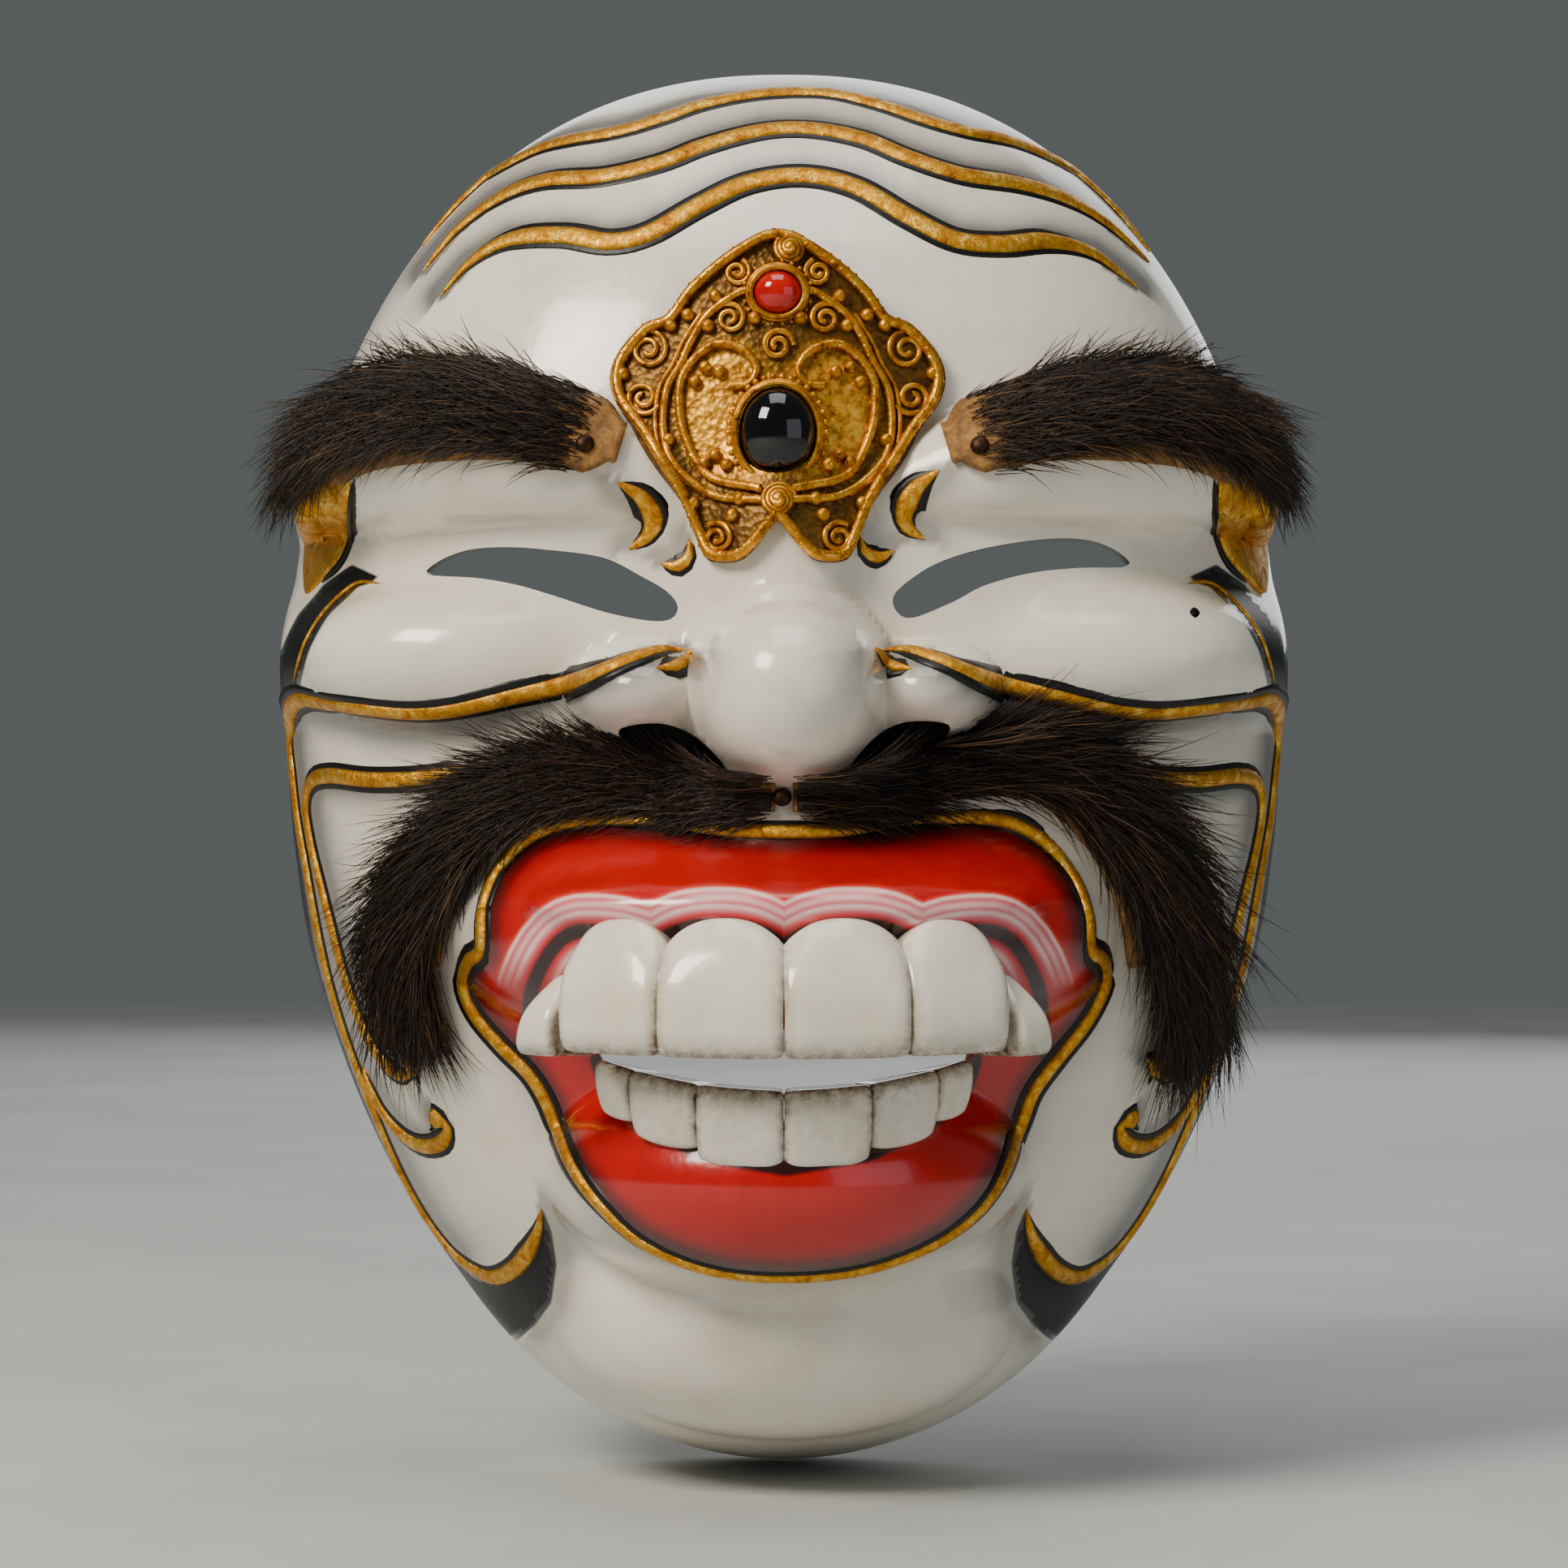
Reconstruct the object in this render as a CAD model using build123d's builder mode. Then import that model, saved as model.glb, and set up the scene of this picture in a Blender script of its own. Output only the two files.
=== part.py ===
"""Carved and painted wooden theatre mask with hair brows, a hair moustache and a gilt brow jewel.

Frame: +Z up, -Y out of the face, +X to the viewer's right. The origin is the middle of the flat
back rim, where the mask meets a face or a wall. Millimetres.
"""

import os
from math import copysign, cos, pi, radians, sin

from build123d import *

# ---------------------------------------------------------------- driving dimensions
half_width = 73.7  # widest half of the rim outline
widest_level = 5.0  # height at which the rim is widest
crown_rise = 97.5  # from the widest level up to the crown
chin_drop = 107.5  # from the widest level down to the chin
crown_power = 2.25  # squareness of the outline above the widest level
jaw_power = 1.95  # squareness of the outline below it
dome_depth = 60.0  # rim plane to the front of the plain dome
front_power = 2.6  # how flat the dome is across the face
side_power = 2.4  # how upright its sides are near the rim
wall = 6.5  # thickness of the carved wall

slit_height = 9.0  # tallest part of an eye slit
nostril_width = 12.0
nostril_height = 5.0
nostril_spread = 13.0  # middle of the face to the middle of a nostril
cheek_hole_radius = 0.8
strap_hole_radius = 1.6
strap_hole_level = 12.0
strap_hole_depth = 11.0  # in front of the rim plane

nose_radius = 12.4
nose_level = 10.0
nose_reach = 86.0  # rim plane to the tip of the nose
nose_pocket_radius = 11.0
nose_pocket_end = 66.0  # rim plane to the end of the pocket behind the nose

upper_tooth_widths = (17.0, 14.8, 7.5)  # from the middle outwards
upper_tooth_heights = (17.0, 17.0, 13.0)
upper_tooth_thickness = 11.0
upper_arch_radius = 50.0
upper_front = 88.0  # rim plane to the front of the middle teeth
upper_edge_level = -39.0  # biting edge of the upper row

lower_tooth_widths = (12.0, 10.2, 6.5)
lower_tooth_heights = (10.0, 9.0, 7.0)
lower_tooth_thickness = 9.0
lower_arch_radius = 36.0
lower_front = 77.0
lower_edge_level = -44.5  # biting edge of the lower row
tooth_gap = 0.35
tooth_rounding = 1.5

glue_gap = 0.05  # between anything glued or tacked down and what it lies on
hide_thickness = 1.3
moustache_thickness = 3.2
plate_thickness = 1.8
border_wire_radius = 0.8
scroll_wire_radius = 0.6
granule_radius = 0.8
black_stone_radii = (5.0, 5.8)  # across and up
black_stone_height = 4.6
red_stone_radii = (3.1, 2.8)
red_stone_height = 2.4
stone_clearance = 0.1
seat_gap = 0.12  # solder or glue under a stone, a collar, a stud or a tack
collar_thickness = 0.8
collar_height = 1.6
wire_gap = 0.15  # solder between a wire or a granule and the plate
wire_step = 2.0  # spacing of the places where a wire is fitted to the plate
stud_radius = 1.7
stud_turns = 3
stud_turn_height = 0.7
tack_head_radius = 1.3
tack_head_height = 0.7
shank_radius = 0.55
shank_length = 5.0
shank_clearance = 0.05

os.makedirs("parts", exist_ok=True)


# ---------------------------------------------------------------- shapes used more than once
def outline_point(turn, grow, share):
    """A point of the rim outline, grown by an amount and shrunk to a share of its size."""
    across, up = cos(turn), sin(turn)
    rise = crown_rise if up >= 0 else chin_drop
    power = crown_power if up >= 0 else jaw_power
    x = (half_width + grow) * copysign(abs(across) ** (2 / power), across)
    z = (rise + grow) * copysign(abs(up) ** (2 / power), up)
    return x * share, widest_level + z * share


def make_dome(grow, back=0.0):
    """The plain dome, grown by an amount; back lengthens it behind the rim plane."""
    outline_steps = 24
    slopes = (90, 78, 66, 52, 38, 22, 7)
    turns = [pi / 2 + 2 * pi * k / outline_steps for k in range(outline_steps)]
    with BuildPart() as dome:
        for slope in slopes:
            share = sin(radians(slope)) ** (2 / front_power)
            depth = (dome_depth + grow) * max(cos(radians(slope)), 0.0) ** (2 / side_power)
            with BuildSketch(Plane.XZ.offset(depth)):
                with BuildLine():
                    Spline(*[outline_point(t, grow, share) for t in turns], periodic=True)
                make_face()
        loft()
        if back:
            extrude(dome.faces().sort_by(Axis.Y)[-1], amount=back)
    return dome.part


def make_ellipsoid(middle, radii, grow=0.0):
    """A solid ellipsoid with its radii along X, Y and Z."""
    with BuildPart() as ellipsoid:
        Sphere(1)
        scale(by=tuple(radius + grow for radius in radii))
    return ellipsoid.part.moved(Location(middle))


def make_limb(route, girths, grow=0.0):
    """Oval stations along a route, lofted into one smooth limb; girths are up and out."""
    last = len(route) - 1
    with BuildPart() as limb:
        for k, (up, out) in enumerate(girths):
            before = Vector(*route[max(k - 1, 0)])
            after = Vector(*route[min(k + 1, last)])
            station = Plane(origin=route[k], z_dir=(after - before).normalized(), x_dir=(0, 0, 1))
            with BuildSketch(station):
                Ellipse(up + grow, out + grow)
        loft()
    return limb.part


def make_slab(points, near, far):
    """A smooth closed outline in X and Z, extruded between two distances in front of the rim."""
    with BuildPart() as slab:
        with BuildSketch(Plane.XZ.offset(near)):
            with BuildLine():
                Spline(*points, periodic=True)
            make_face()
        extrude(amount=far - near)
    return slab.part


def both_sides(shape):
    """A shape and its mirror image across the middle of the face."""
    return [shape, shape.mirror(Plane.YZ)]


def front_plane(shape, x, z):
    """A plane lying on the front of a shape, as met from straight ahead."""
    sight = Axis((x, -200, z), (0, 1, 0))
    hits = shape.find_intersection_points(sight)
    point, normal = min(hits, key=lambda hit: hit[0].Y)
    if normal.Y > 0:
        normal = -normal
    return Plane(origin=point, z_dir=normal, x_dir=(1, 0, 0) if abs(normal.X) < 0.5 else (0, 0, 1))


def bridge_plane(shape, x, z, across, up):
    """A plane laid over the front of a shape, touching only its highest places in an oval."""
    turns = [pi * k / 4 for k in range(8)]
    rim = [front_plane(shape, x + across * cos(t), z + up * sin(t)).origin for t in turns]
    inside = [
        front_plane(shape, x + across * cos(t) / 2, z + up * sin(t) / 2).origin for t in turns
    ]
    normal = (rim[0] - rim[4]).cross(rim[2] - rim[6]).normalized()
    plane = Plane(origin=front_plane(shape, x, z).origin, x_dir=(rim[0] - rim[4]), z_dir=normal)
    highest = max(plane.to_local_coords(place).Z for place in rim + inside)
    return plane.offset(max(highest, 0) + seat_gap)


def finish_piece(shape, name):
    """Labels a finished piece and writes it."""
    shape.label = name
    export_step(shape, f"parts/{name}.step")
    return shape


def finish_pair(shape, name):
    """Writes a piece of the viewer's right half and its mirror image on the left half."""
    right_piece, left_piece = both_sides(shape)
    return finish_piece(right_piece, f"right_{name}"), finish_piece(left_piece, f"left_{name}")


# ---------------------------------------------------------------- teeth
def make_tooth(place, width, back_width, thickness, height, upwards):
    """One wedge-shaped tooth block with rounded corners and a rounded biting edge."""
    corners = [
        (-width / 2, 0),
        (width / 2, 0),
        (back_width / 2, thickness),
        (-back_width / 2, thickness),
    ]
    with BuildPart() as tooth:
        with BuildSketch(place):
            with BuildLine():
                Polyline(*corners, close=True)
            make_face()
        extrude(amount=height if upwards else -height)
        fillet(tooth.edges().filter_by(Axis.Z), tooth_rounding)
        biting = tooth.faces().sort_by(Axis.Z)[0 if upwards else -1]
        fillet(biting.edges(), tooth_rounding * 0.9)
    return tooth.part


def make_row(widths, heights, thickness, radius, front, level, upwards):
    """A row of teeth side by side round the arch, from the middle outwards on both sides."""
    row = []
    back_share = (radius - thickness) / radius
    for side in (-1, 1):
        reached = 0.0
        for width, height in zip(widths, heights):
            turn = side * (reached + width / 2) / radius
            origin = (radius * sin(turn), radius * (1 - cos(turn)) - front, level)
            place = Plane(origin=origin, x_dir=(cos(turn), sin(turn), 0), z_dir=(0, 0, 1))
            wide = width - tooth_gap
            row.append(make_tooth(place, wide, wide * back_share, thickness, height, upwards))
            reached += width
    return row


upper_row = make_row(
    upper_tooth_widths,
    upper_tooth_heights,
    upper_tooth_thickness,
    upper_arch_radius,
    upper_front,
    upper_edge_level,
    upwards=True,
)
lower_row = make_row(
    lower_tooth_widths,
    lower_tooth_heights,
    lower_tooth_thickness,
    lower_arch_radius,
    lower_front,
    lower_edge_level,
    upwards=False,
)
upper_teeth = finish_piece(Compound(children=upper_row), "upper_teeth")
lower_teeth = finish_piece(Compound(children=lower_row), "lower_teeth")

# ---------------------------------------------------------------- carved wooden shell
brow_route = [(14, -54, 37), (28, -55, 41.5), (44, -51, 43.5), (58, -42, 42), (67, -34, 38)]
brow_girths = [(5, 4), (8, 7), (9, 8), (8, 7), (4, 3)]
slit_line = [(15, 23.5), (22, 25), (30, 26.5), (38, 27.5), (46, 28.2)]
slit_share = [0.35, 0.9, 1.0, 0.75, 0.3]
mouth_window = [(-24, 2), (24, 2), (22, -5), (12, -7), (-12, -7), (-22, -5)]
nose_middle = (0, nose_radius - nose_reach, nose_level)
bumps = [
    ((0, -52, 27), (13, 12, 23)),  # bridge of the nose
    ((0, -56, -8), (17, 14, 16)),  # under the nose
    ((0, -62, 11), (13, 15, 12)),  # body of the nose
    ((0, -50, -24), (46, 30, 20)),  # upper lip
    ((0, -46, -57), (33, 31, 18)),  # lower lip
    ((0, -34, -78), (32, 17, 17)),  # chin
    (nose_middle, (nose_radius, nose_radius, nose_radius)),
]
paired_bumps = [
    ((39, -43, 10), (27, 19, 14)),  # cheek
    ((18, -62, 10.5), (10.5, 10.5, 6.5)),  # wing of the nose
]


def carved_front(grow):
    """The face as a filled block: the dome and everything that stands out from it."""
    with BuildPart() as block:
        add(make_dome(grow))
        for side_brow in both_sides(make_limb(brow_route, brow_girths, grow)):
            add(side_brow)
        for middle, radii in bumps:
            add(make_ellipsoid(middle, radii, grow))
        for middle, radii in paired_bumps:
            for bump in both_sides(make_ellipsoid(middle, radii, grow)):
                add(bump)
    return block.part


plain_front = carved_front(0.0)
with BuildPart() as shell:
    add(plain_front)
    # the hollow for the wearer's face, with pockets behind the nose and the mouth
    add(make_dome(-wall, back=2.0), mode=Mode.SUBTRACT)
    with BuildSketch(Plane.XZ.offset(40)):
        with Locations((0, nose_level - 1)):
            Circle(nose_pocket_radius)
    extrude(amount=nose_pocket_end - 40, mode=Mode.SUBTRACT)
    add(make_ellipsoid((0, -42, -42), (28, 25, 20)), mode=Mode.SUBTRACT)
    for side in (-1, 1):
        # eye slit, wide near the nose and narrowing to a tail
        over = [(side * x, z + slit_height * s / 2) for (x, z), s in zip(slit_line, slit_share)]
        under = [(side * x, z - slit_height * s / 2) for (x, z), s in zip(slit_line, slit_share)]
        add(make_slab(over + under[::-1], 25, 80), mode=Mode.SUBTRACT)
    # nostrils, pierced under the wings of the nose
    with BuildSketch(Plane.XZ.offset(40)):
        with Locations((-nostril_spread, 1.5), (nostril_spread, 1.5)):
            SlotOverall(nostril_width, nostril_height)
    extrude(amount=27, mode=Mode.SUBTRACT)
    # the opening between the rows of teeth
    with BuildSketch(Plane.XZ.offset(30)):
        with BuildLine():
            Polyline(*[(x, upper_edge_level + z) for x, z in mouth_window], close=True)
        make_face()
    extrude(amount=60, mode=Mode.SUBTRACT)
    # small hole in one cheek
    with BuildSketch(Plane.XZ.offset(20)):
        with Locations((57, 21)):
            Circle(cheek_hole_radius)
    extrude(amount=40, mode=Mode.SUBTRACT)
    # strap holes through both side walls
    reach = half_width + wall
    strap_line = Plane(origin=(-reach, -strap_hole_depth, strap_hole_level), z_dir=(1, 0, 0))
    with BuildSketch(strap_line):
        Circle(strap_hole_radius)
    extrude(amount=2 * reach, mode=Mode.SUBTRACT)
    for tooth in upper_row + lower_row:
        add(tooth, mode=Mode.SUBTRACT)

# ---------------------------------------------------------------- hide strips and hair
bedding = carved_front(glue_gap)
hide_top = carved_front(glue_gap + hide_thickness)
hair_bedding = carved_front(2 * glue_gap + hide_thickness)
hair_top = carved_front(2 * glue_gap + hide_thickness + moustache_thickness)

brow_hide_outline = [
    (24, 44.5), (25.5, 48.5), (34, 52), (46, 53), (57, 51), (66, 46), (69.5, 40.5),
    (66, 39), (56, 42), (44, 41.5), (34, 40.5), (26, 39.8),
]  # fmt: skip
brow_hair_route = [(29.5, -60, 45), (40, -60, 48), (52, -54.5, 51), (65, -44, 50), (77, -30, 43.5)]
brow_hair_girths = [(4.5, 5), (7.5, 7), (9.5, 8), (9, 7), (4, 3)]
moustache_hide_outline = [
    (1.2, -2.6), (13, -2.2), (25, -1.5), (36, -5.5), (44.2, -13), (48, -23), (48, -30),
    (45, -30), (43.5, -22), (38, -12.5), (30, -7), (18.6, -6.4), (1.2, -6.2),
]  # fmt: skip
moustache_outline = [
    (2.4, -2.2), (7.5, -1.8), (13, -1.6), (19.8, -0.6), (25, 2.6), (30, 3.6), (38.6, 0.5),
    (45.3, -3), (50.8, -8.8), (57, -16.6), (60, -22), (59, -30), (55, -36), (48, -36.5),
    (44, -30), (42.4, -21), (37, -12.6), (29.7, -7.4), (18.6, -6.8), (2.4, -6.8),
]  # fmt: skip
near, far = 20, 95  # how far in front of the rim plane the face is worked through

with BuildPart() as brow_hide:
    add(hide_top)
    add(bedding, mode=Mode.SUBTRACT)
    add(make_slab(brow_hide_outline, near, far), mode=Mode.INTERSECT)
with BuildPart() as moustache_hide:
    add(hide_top)
    add(bedding, mode=Mode.SUBTRACT)
    add(make_slab(moustache_hide_outline, near, far), mode=Mode.INTERSECT)
with BuildPart() as brow_hair:
    add(make_limb(brow_hair_route, brow_hair_girths))
    add(hair_bedding, mode=Mode.SUBTRACT)
with BuildPart() as moustache_hair:
    add(hair_top)
    add(hair_bedding, mode=Mode.SUBTRACT)
    add(make_slab(moustache_outline, near, far), mode=Mode.INTERSECT)

# ---------------------------------------------------------------- gilt jewel on the brow
jewel_middle = 51.0  # height of the middle of the plate
plate_half = [
    (0, 74.1), (6.1, 71.4), (12.2, 66.4), (15.6, 62), (19, 60.6), (22.2, 57), (23.3, 53.5),
    (22.4, 50), (19.6, 46.2), (17, 42), (13.3, 36), (11.2, 31), (9.5, 27.9), (5.9, 27.7),
    (3.7, 29.3), (1.7, 31.8), (0, 33.4),
]  # fmt: skip
with BuildPart() as plate:
    add(carved_front(glue_gap + plate_thickness))
    add(bedding, mode=Mode.SUBTRACT)
    with BuildSketch(Plane.XZ.offset(near)):
        with BuildLine() as plate_edge:
            Spline(*plate_half)
            mirror(about=Plane.YZ)
        make_face()
    extrude(amount=far - near, mode=Mode.INTERSECT)


def lay_wire(points, radius):
    """A round wire laid along points on the front of the plate."""
    run = Spline(*points)
    steps = max(len(points), int(run.length / wire_step))
    lifted = []
    for k in range(steps + 1):
        place = run @ (k / steps)
        touch = front_plane(plate.part, place.X, place.Y)
        lifted.append(touch.offset(radius + wire_gap).origin)
    with BuildPart() as wire:
        with BuildLine() as path:
            Spline(*lifted)
        with BuildSketch(Plane(origin=path.line @ 0, z_dir=path.line % 0)):
            Circle(radius)
        sweep()
    return wire.part


def curl(x, z, radius, handed):
    """Points of a small curl that winds inwards round a place on the plate."""
    places = []
    for k in range(7):
        turn = handed * k * 0.9 + pi / 2
        share = radius * (1 - 0.1 * k)
        places.append((x + share * cos(turn), z + share * sin(turn)))
    return places


border_half = [
    (max(0.93 * x, border_wire_radius + 0.2), jewel_middle + 0.955 * (z - jewel_middle))
    for x, z in plate_half[:-1]
]
inner_scroll = [
    (3.0, 37.4), (9.5, 39.6), (12.9, 45.7), (13.5, 51.6), (12.1, 55.1), (8.7, 57.8),
    (4.8, 57), (2.9, 54.4), (4.2, 52.4), (6.6, 52.4),
]  # fmt: skip
outer_scroll = [
    (4, 34.9), (8.7, 37), (12.9, 41.4), (15.5, 45.9), (15.3, 51.6), (13.4, 55.1),
    (11.8, 58.6), (9.5, 62.1), (5.8, 64.4),
]  # fmt: skip
curl_places = [(6, 60.6, 1.3), (5.6, 67.2, 1.1), (7.4, 31.8, 1.0), (18, 55.1, 1.2)]
granule_places = [
    (8.6, 65.0), (12.6, 60.6), (15.6, 57.8), (17.6, 50.2), (10.4, 53), (10.2, 49),
    (9.6, 44.6), (6, 33.9),
]  # fmt: skip

border_wires = []
scroll_wires = []
for side in (-1, 1):
    border_wires.append(lay_wire([(side * x, z) for x, z in border_half], border_wire_radius))
    for scroll in (inner_scroll, outer_scroll):
        scroll_wires.append(lay_wire([(side * x, z) for x, z in scroll], scroll_wire_radius))
    for x, z, radius in curl_places:
        scroll_wires.append(lay_wire(curl(side * x, z, radius, side), scroll_wire_radius))
scroll_wires.append(lay_wire(curl(0, 57.8, 1.3, 1), scroll_wire_radius))
finish_piece(Compound(children=border_wires), "ornament_border")
finish_piece(Compound(children=scroll_wires), "ornament_scrolls")

granules = []
for side in (-1, 1):
    for x, z in granule_places:
        touch = front_plane(plate.part, side * x, z)
        with BuildPart(touch.offset(granule_radius + wire_gap)) as granule:
            Sphere(granule_radius)
        granules.append(granule.part)
finish_piece(Compound(children=granules), "ornament_granules")

stone_places = {
    "black": (45.4, black_stone_radii, black_stone_height),
    "red": (65.0, red_stone_radii, red_stone_height),
}
for name, (level, radii, height) in stone_places.items():
    seat = bridge_plane(plate.part, 0, level, *[r + stone_clearance + collar_thickness for r in radii])
    with BuildPart() as stone:
        Sphere(1, arc_size1=0, align=(Align.CENTER, Align.CENTER, Align.MIN))
        scale(by=(*radii, height))
    finish_piece(stone.part.moved(seat.location), f"{name}_stone")
    inner = [radius + stone_clearance for radius in radii]
    with BuildPart() as collar:
        with BuildSketch(seat):
            Ellipse(*[radius + collar_thickness for radius in inner])
            Ellipse(*inner, mode=Mode.SUBTRACT)
        extrude(amount=collar_height)
    finish_piece(collar.part, f"{name}_stone_collar")

# ---------------------------------------------------------------- studs and tacks
shank_holes = []


def make_pin(seat, layers, layer_height, radius, through):
    """A pin: round head layers that step inwards, and a shank down into the wood."""
    with BuildPart() as pin:
        for k in range(layers):
            with BuildSketch(seat.offset(k * layer_height)):
                Circle(radius * (1 - k / (layers + 0.5)))
            extrude(amount=layer_height)
        with BuildSketch(seat):
            Circle(shank_radius)
        extrude(amount=-through - shank_length)
    with BuildPart() as hole:
        with BuildSketch(seat):
            Circle(shank_radius + shank_clearance)
        extrude(amount=-through - shank_length - shank_clearance)
    shank_holes.append(hole.part)
    return pin.part


studs = []
for level in (70.7, 36.3):
    seat = bridge_plane(plate.part, 0, level, stud_radius, stud_radius)
    studs.append(make_pin(seat, stud_turns, stud_turn_height, stud_radius, plate_thickness))
finish_piece(Compound(children=studs), "ornament_studs")

tacks = []
for x, z in ((-27, 42.5), (27, 42.5), (0, -5.2)):
    seat = bridge_plane(hide_top, x, z, tack_head_radius, tack_head_radius)
    tacks.append(make_pin(seat, 1, tack_head_height, tack_head_radius, hide_thickness))
finish_piece(Compound(children=tacks), "hide_tacks")

for pierced in (plate, shell, brow_hide, moustache_hide):
    with pierced:
        for hole in shank_holes:
            add(hole, mode=Mode.SUBTRACT)
finish_piece(plate.part, "ornament_plate")
finish_piece(shell.part, "mask_shell")
finish_pair(brow_hide.part, "brow_hide")
finish_pair(brow_hair.part, "brow_hair")
finish_pair(moustache_hide.part, "moustache_hide")
finish_pair(moustache_hair.part, "moustache_hair")
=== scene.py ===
"""Carved theatre mask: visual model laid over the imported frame.

A hollow carved shell is shaped from grids, painted through surface attributes, and dressed with
raised gold lines, inlaid teeth, hide strips, loose hair and a gilt jewel. Lengths named here are
in millimetres and are turned to metres as meshes are made.
"""

import math

import bpy
import numpy as np
from bpy.props import FloatProperty, IntProperty, PointerProperty
from bpy.types import Operator, Panel, PropertyGroup
from mathutils import Matrix, Vector


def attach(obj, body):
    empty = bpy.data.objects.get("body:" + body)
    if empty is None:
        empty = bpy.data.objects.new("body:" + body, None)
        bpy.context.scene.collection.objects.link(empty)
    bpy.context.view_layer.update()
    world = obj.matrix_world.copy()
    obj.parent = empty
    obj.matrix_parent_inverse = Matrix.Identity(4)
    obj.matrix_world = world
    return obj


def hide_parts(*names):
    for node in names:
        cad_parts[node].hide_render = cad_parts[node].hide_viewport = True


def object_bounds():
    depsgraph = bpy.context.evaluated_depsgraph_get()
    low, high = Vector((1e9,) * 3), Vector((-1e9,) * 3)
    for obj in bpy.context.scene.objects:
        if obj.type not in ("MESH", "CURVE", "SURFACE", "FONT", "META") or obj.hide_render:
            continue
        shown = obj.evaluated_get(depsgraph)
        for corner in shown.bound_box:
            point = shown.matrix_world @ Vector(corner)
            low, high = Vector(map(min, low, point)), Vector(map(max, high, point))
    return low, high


bl_info = {
    "name": "Carved Theatre Mask",
    "version": (1, 0, 0),
    "blender": (4, 5, 0),
    "location": "View3D > Sidebar > Mask",
    "description": "Models a carved and painted theatre mask with hair and a gilt jewel",
    "category": "Add Mesh",
}

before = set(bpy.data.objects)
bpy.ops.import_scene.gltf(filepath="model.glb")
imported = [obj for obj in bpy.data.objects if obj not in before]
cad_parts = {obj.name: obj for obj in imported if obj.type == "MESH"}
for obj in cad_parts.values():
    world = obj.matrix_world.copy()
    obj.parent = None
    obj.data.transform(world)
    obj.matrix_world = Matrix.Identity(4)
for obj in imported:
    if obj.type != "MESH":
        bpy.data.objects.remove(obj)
CAD_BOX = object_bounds()
MM = 0.001

# ---------------------------------------------------------------- carved face, in millimetres
DOME = {"half": 73.7, "level": 5.0, "crown": 97.5, "chin": 107.5, "depth": 60.0}
CROWN_POWER, JAW_POWER, FRONT_POWER, SIDE_POWER = 2.25, 1.95, 2.6, 2.4
RIM_WALL, LEAST_WALL = 6.5, 3.5
AT_RIM = 0.99995  # share of the way out, past which a grid's points lie in the rim plane
FADE_DEPTH = 22  # the carving fades out where the dome is shallower than this

# across, up, half width, half height, base depth, swell, softness of the join
LOBES = [
    (0, 28, 15, 25, 48, 17, 3.0),
    (0, 11, 15, 15, 52, 23, 3.0),
    (19.5, 10, 10.5, 7, 58, 14, 2.6),
    (0, -8, 18, 16, 50, 20, 3.0),
    (0, -24, 47, 21, 47, 31, 3.0),
    (0, -57, 34, 18.5, 46, 31, 3.0),
    (0, -78, 33, 18, 38, 18, 4.0),
    (43, 15, 25, 12, 44, 17, 4.0),
    (0.6, 10.0, 12.4, 12.4, 73, 12.8, 1.2),
    (0, -19.5, 35, 6.5, 66, 15.5, 2.0),
]
# across, up, half width, half height, base depth, swell, softness of the join
HOLLOW_LOBES = [(0, 9, 14, 12, 44, 21, 3), (0, -42, 29, 20, 44, 23, 3), (0, 30, 12, 18, 44, 12, 3)]
# across, up, girth, depth of the crest
BROW_RIDGE = [
    (14, 37, 5, 59), (28, 41.0, 8.5, 63.0), (44, 42.5, 9.5, 60.5), (58, 41, 8.5, 52.5), (67, 38.0, 4, 42),
]

EYE_SLITS = [
    [(-49.8, 26.5), (-48.3, 28.3), (-44.1, 29.8), (-38.7, 30.1), (-33.3, 29.7), (-25.1, 28.5),
     (-19.6, 25.8), (-16.1, 23.7), (-14.6, 21.6), (-15.6, 19.9), (-18.7, 19.7), (-24.7, 20.9),
     (-32.1, 23.3), (-37.2, 24.8), (-42.6, 25.8)],
    [(48.0, 27.6), (46.8, 29.5), (42.6, 31.1), (36.4, 31.2), (27.7, 29.8), (21.2, 27.7),
     (16.9, 25.0), (15.0, 22.9), (15.6, 20.8), (17.8, 20.1), (23.3, 22.3), (27.7, 24.6),
     (34.2, 26.4), (40.8, 27.2)],
]
MOUTH_WINDOW = [
    (-24, -36.5), (0, -36), (24, -36.5), (23, -44), (12, -47.5), (0, -48.5), (-12, -47.5), (-23, -44),
]
NOSTRILS = [
    [(-7.6, -1.5), (-11.5, 3.2), (-16.5, 5.4), (-22.5, 4.6), (-20.5, 1.8), (-13, -1.0)],
    [(8.6, -1.5), (12, 3.2), (16.5, 5.6), (22.5, 5.2), (20.5, 2.2), (13.5, -1.0)],
]
CHEEK_HOLE = [(57.8, 21), (57, 21.8), (56.2, 21), (57, 20.2)]
# outline, and the depths between which it is cut; the nostrils are blind, and the black of their cut pockets
# is painted shade for the dark inside the nostrils
CUTS = [
    (EYE_SLITS[0], 28, 80), (EYE_SLITS[1], 28, 80), (NOSTRILS[0], 56.5, 90), (NOSTRILS[1], 56.5, 90),
    (MOUTH_WINDOW, 30, 100), (CHEEK_HOLE, 20, 60),
]
STRAP_HOLE = {"radius": 1.6, "reach": 30.0, "side": 74.0, "depth": 11.0, "level": 12.0}

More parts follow.
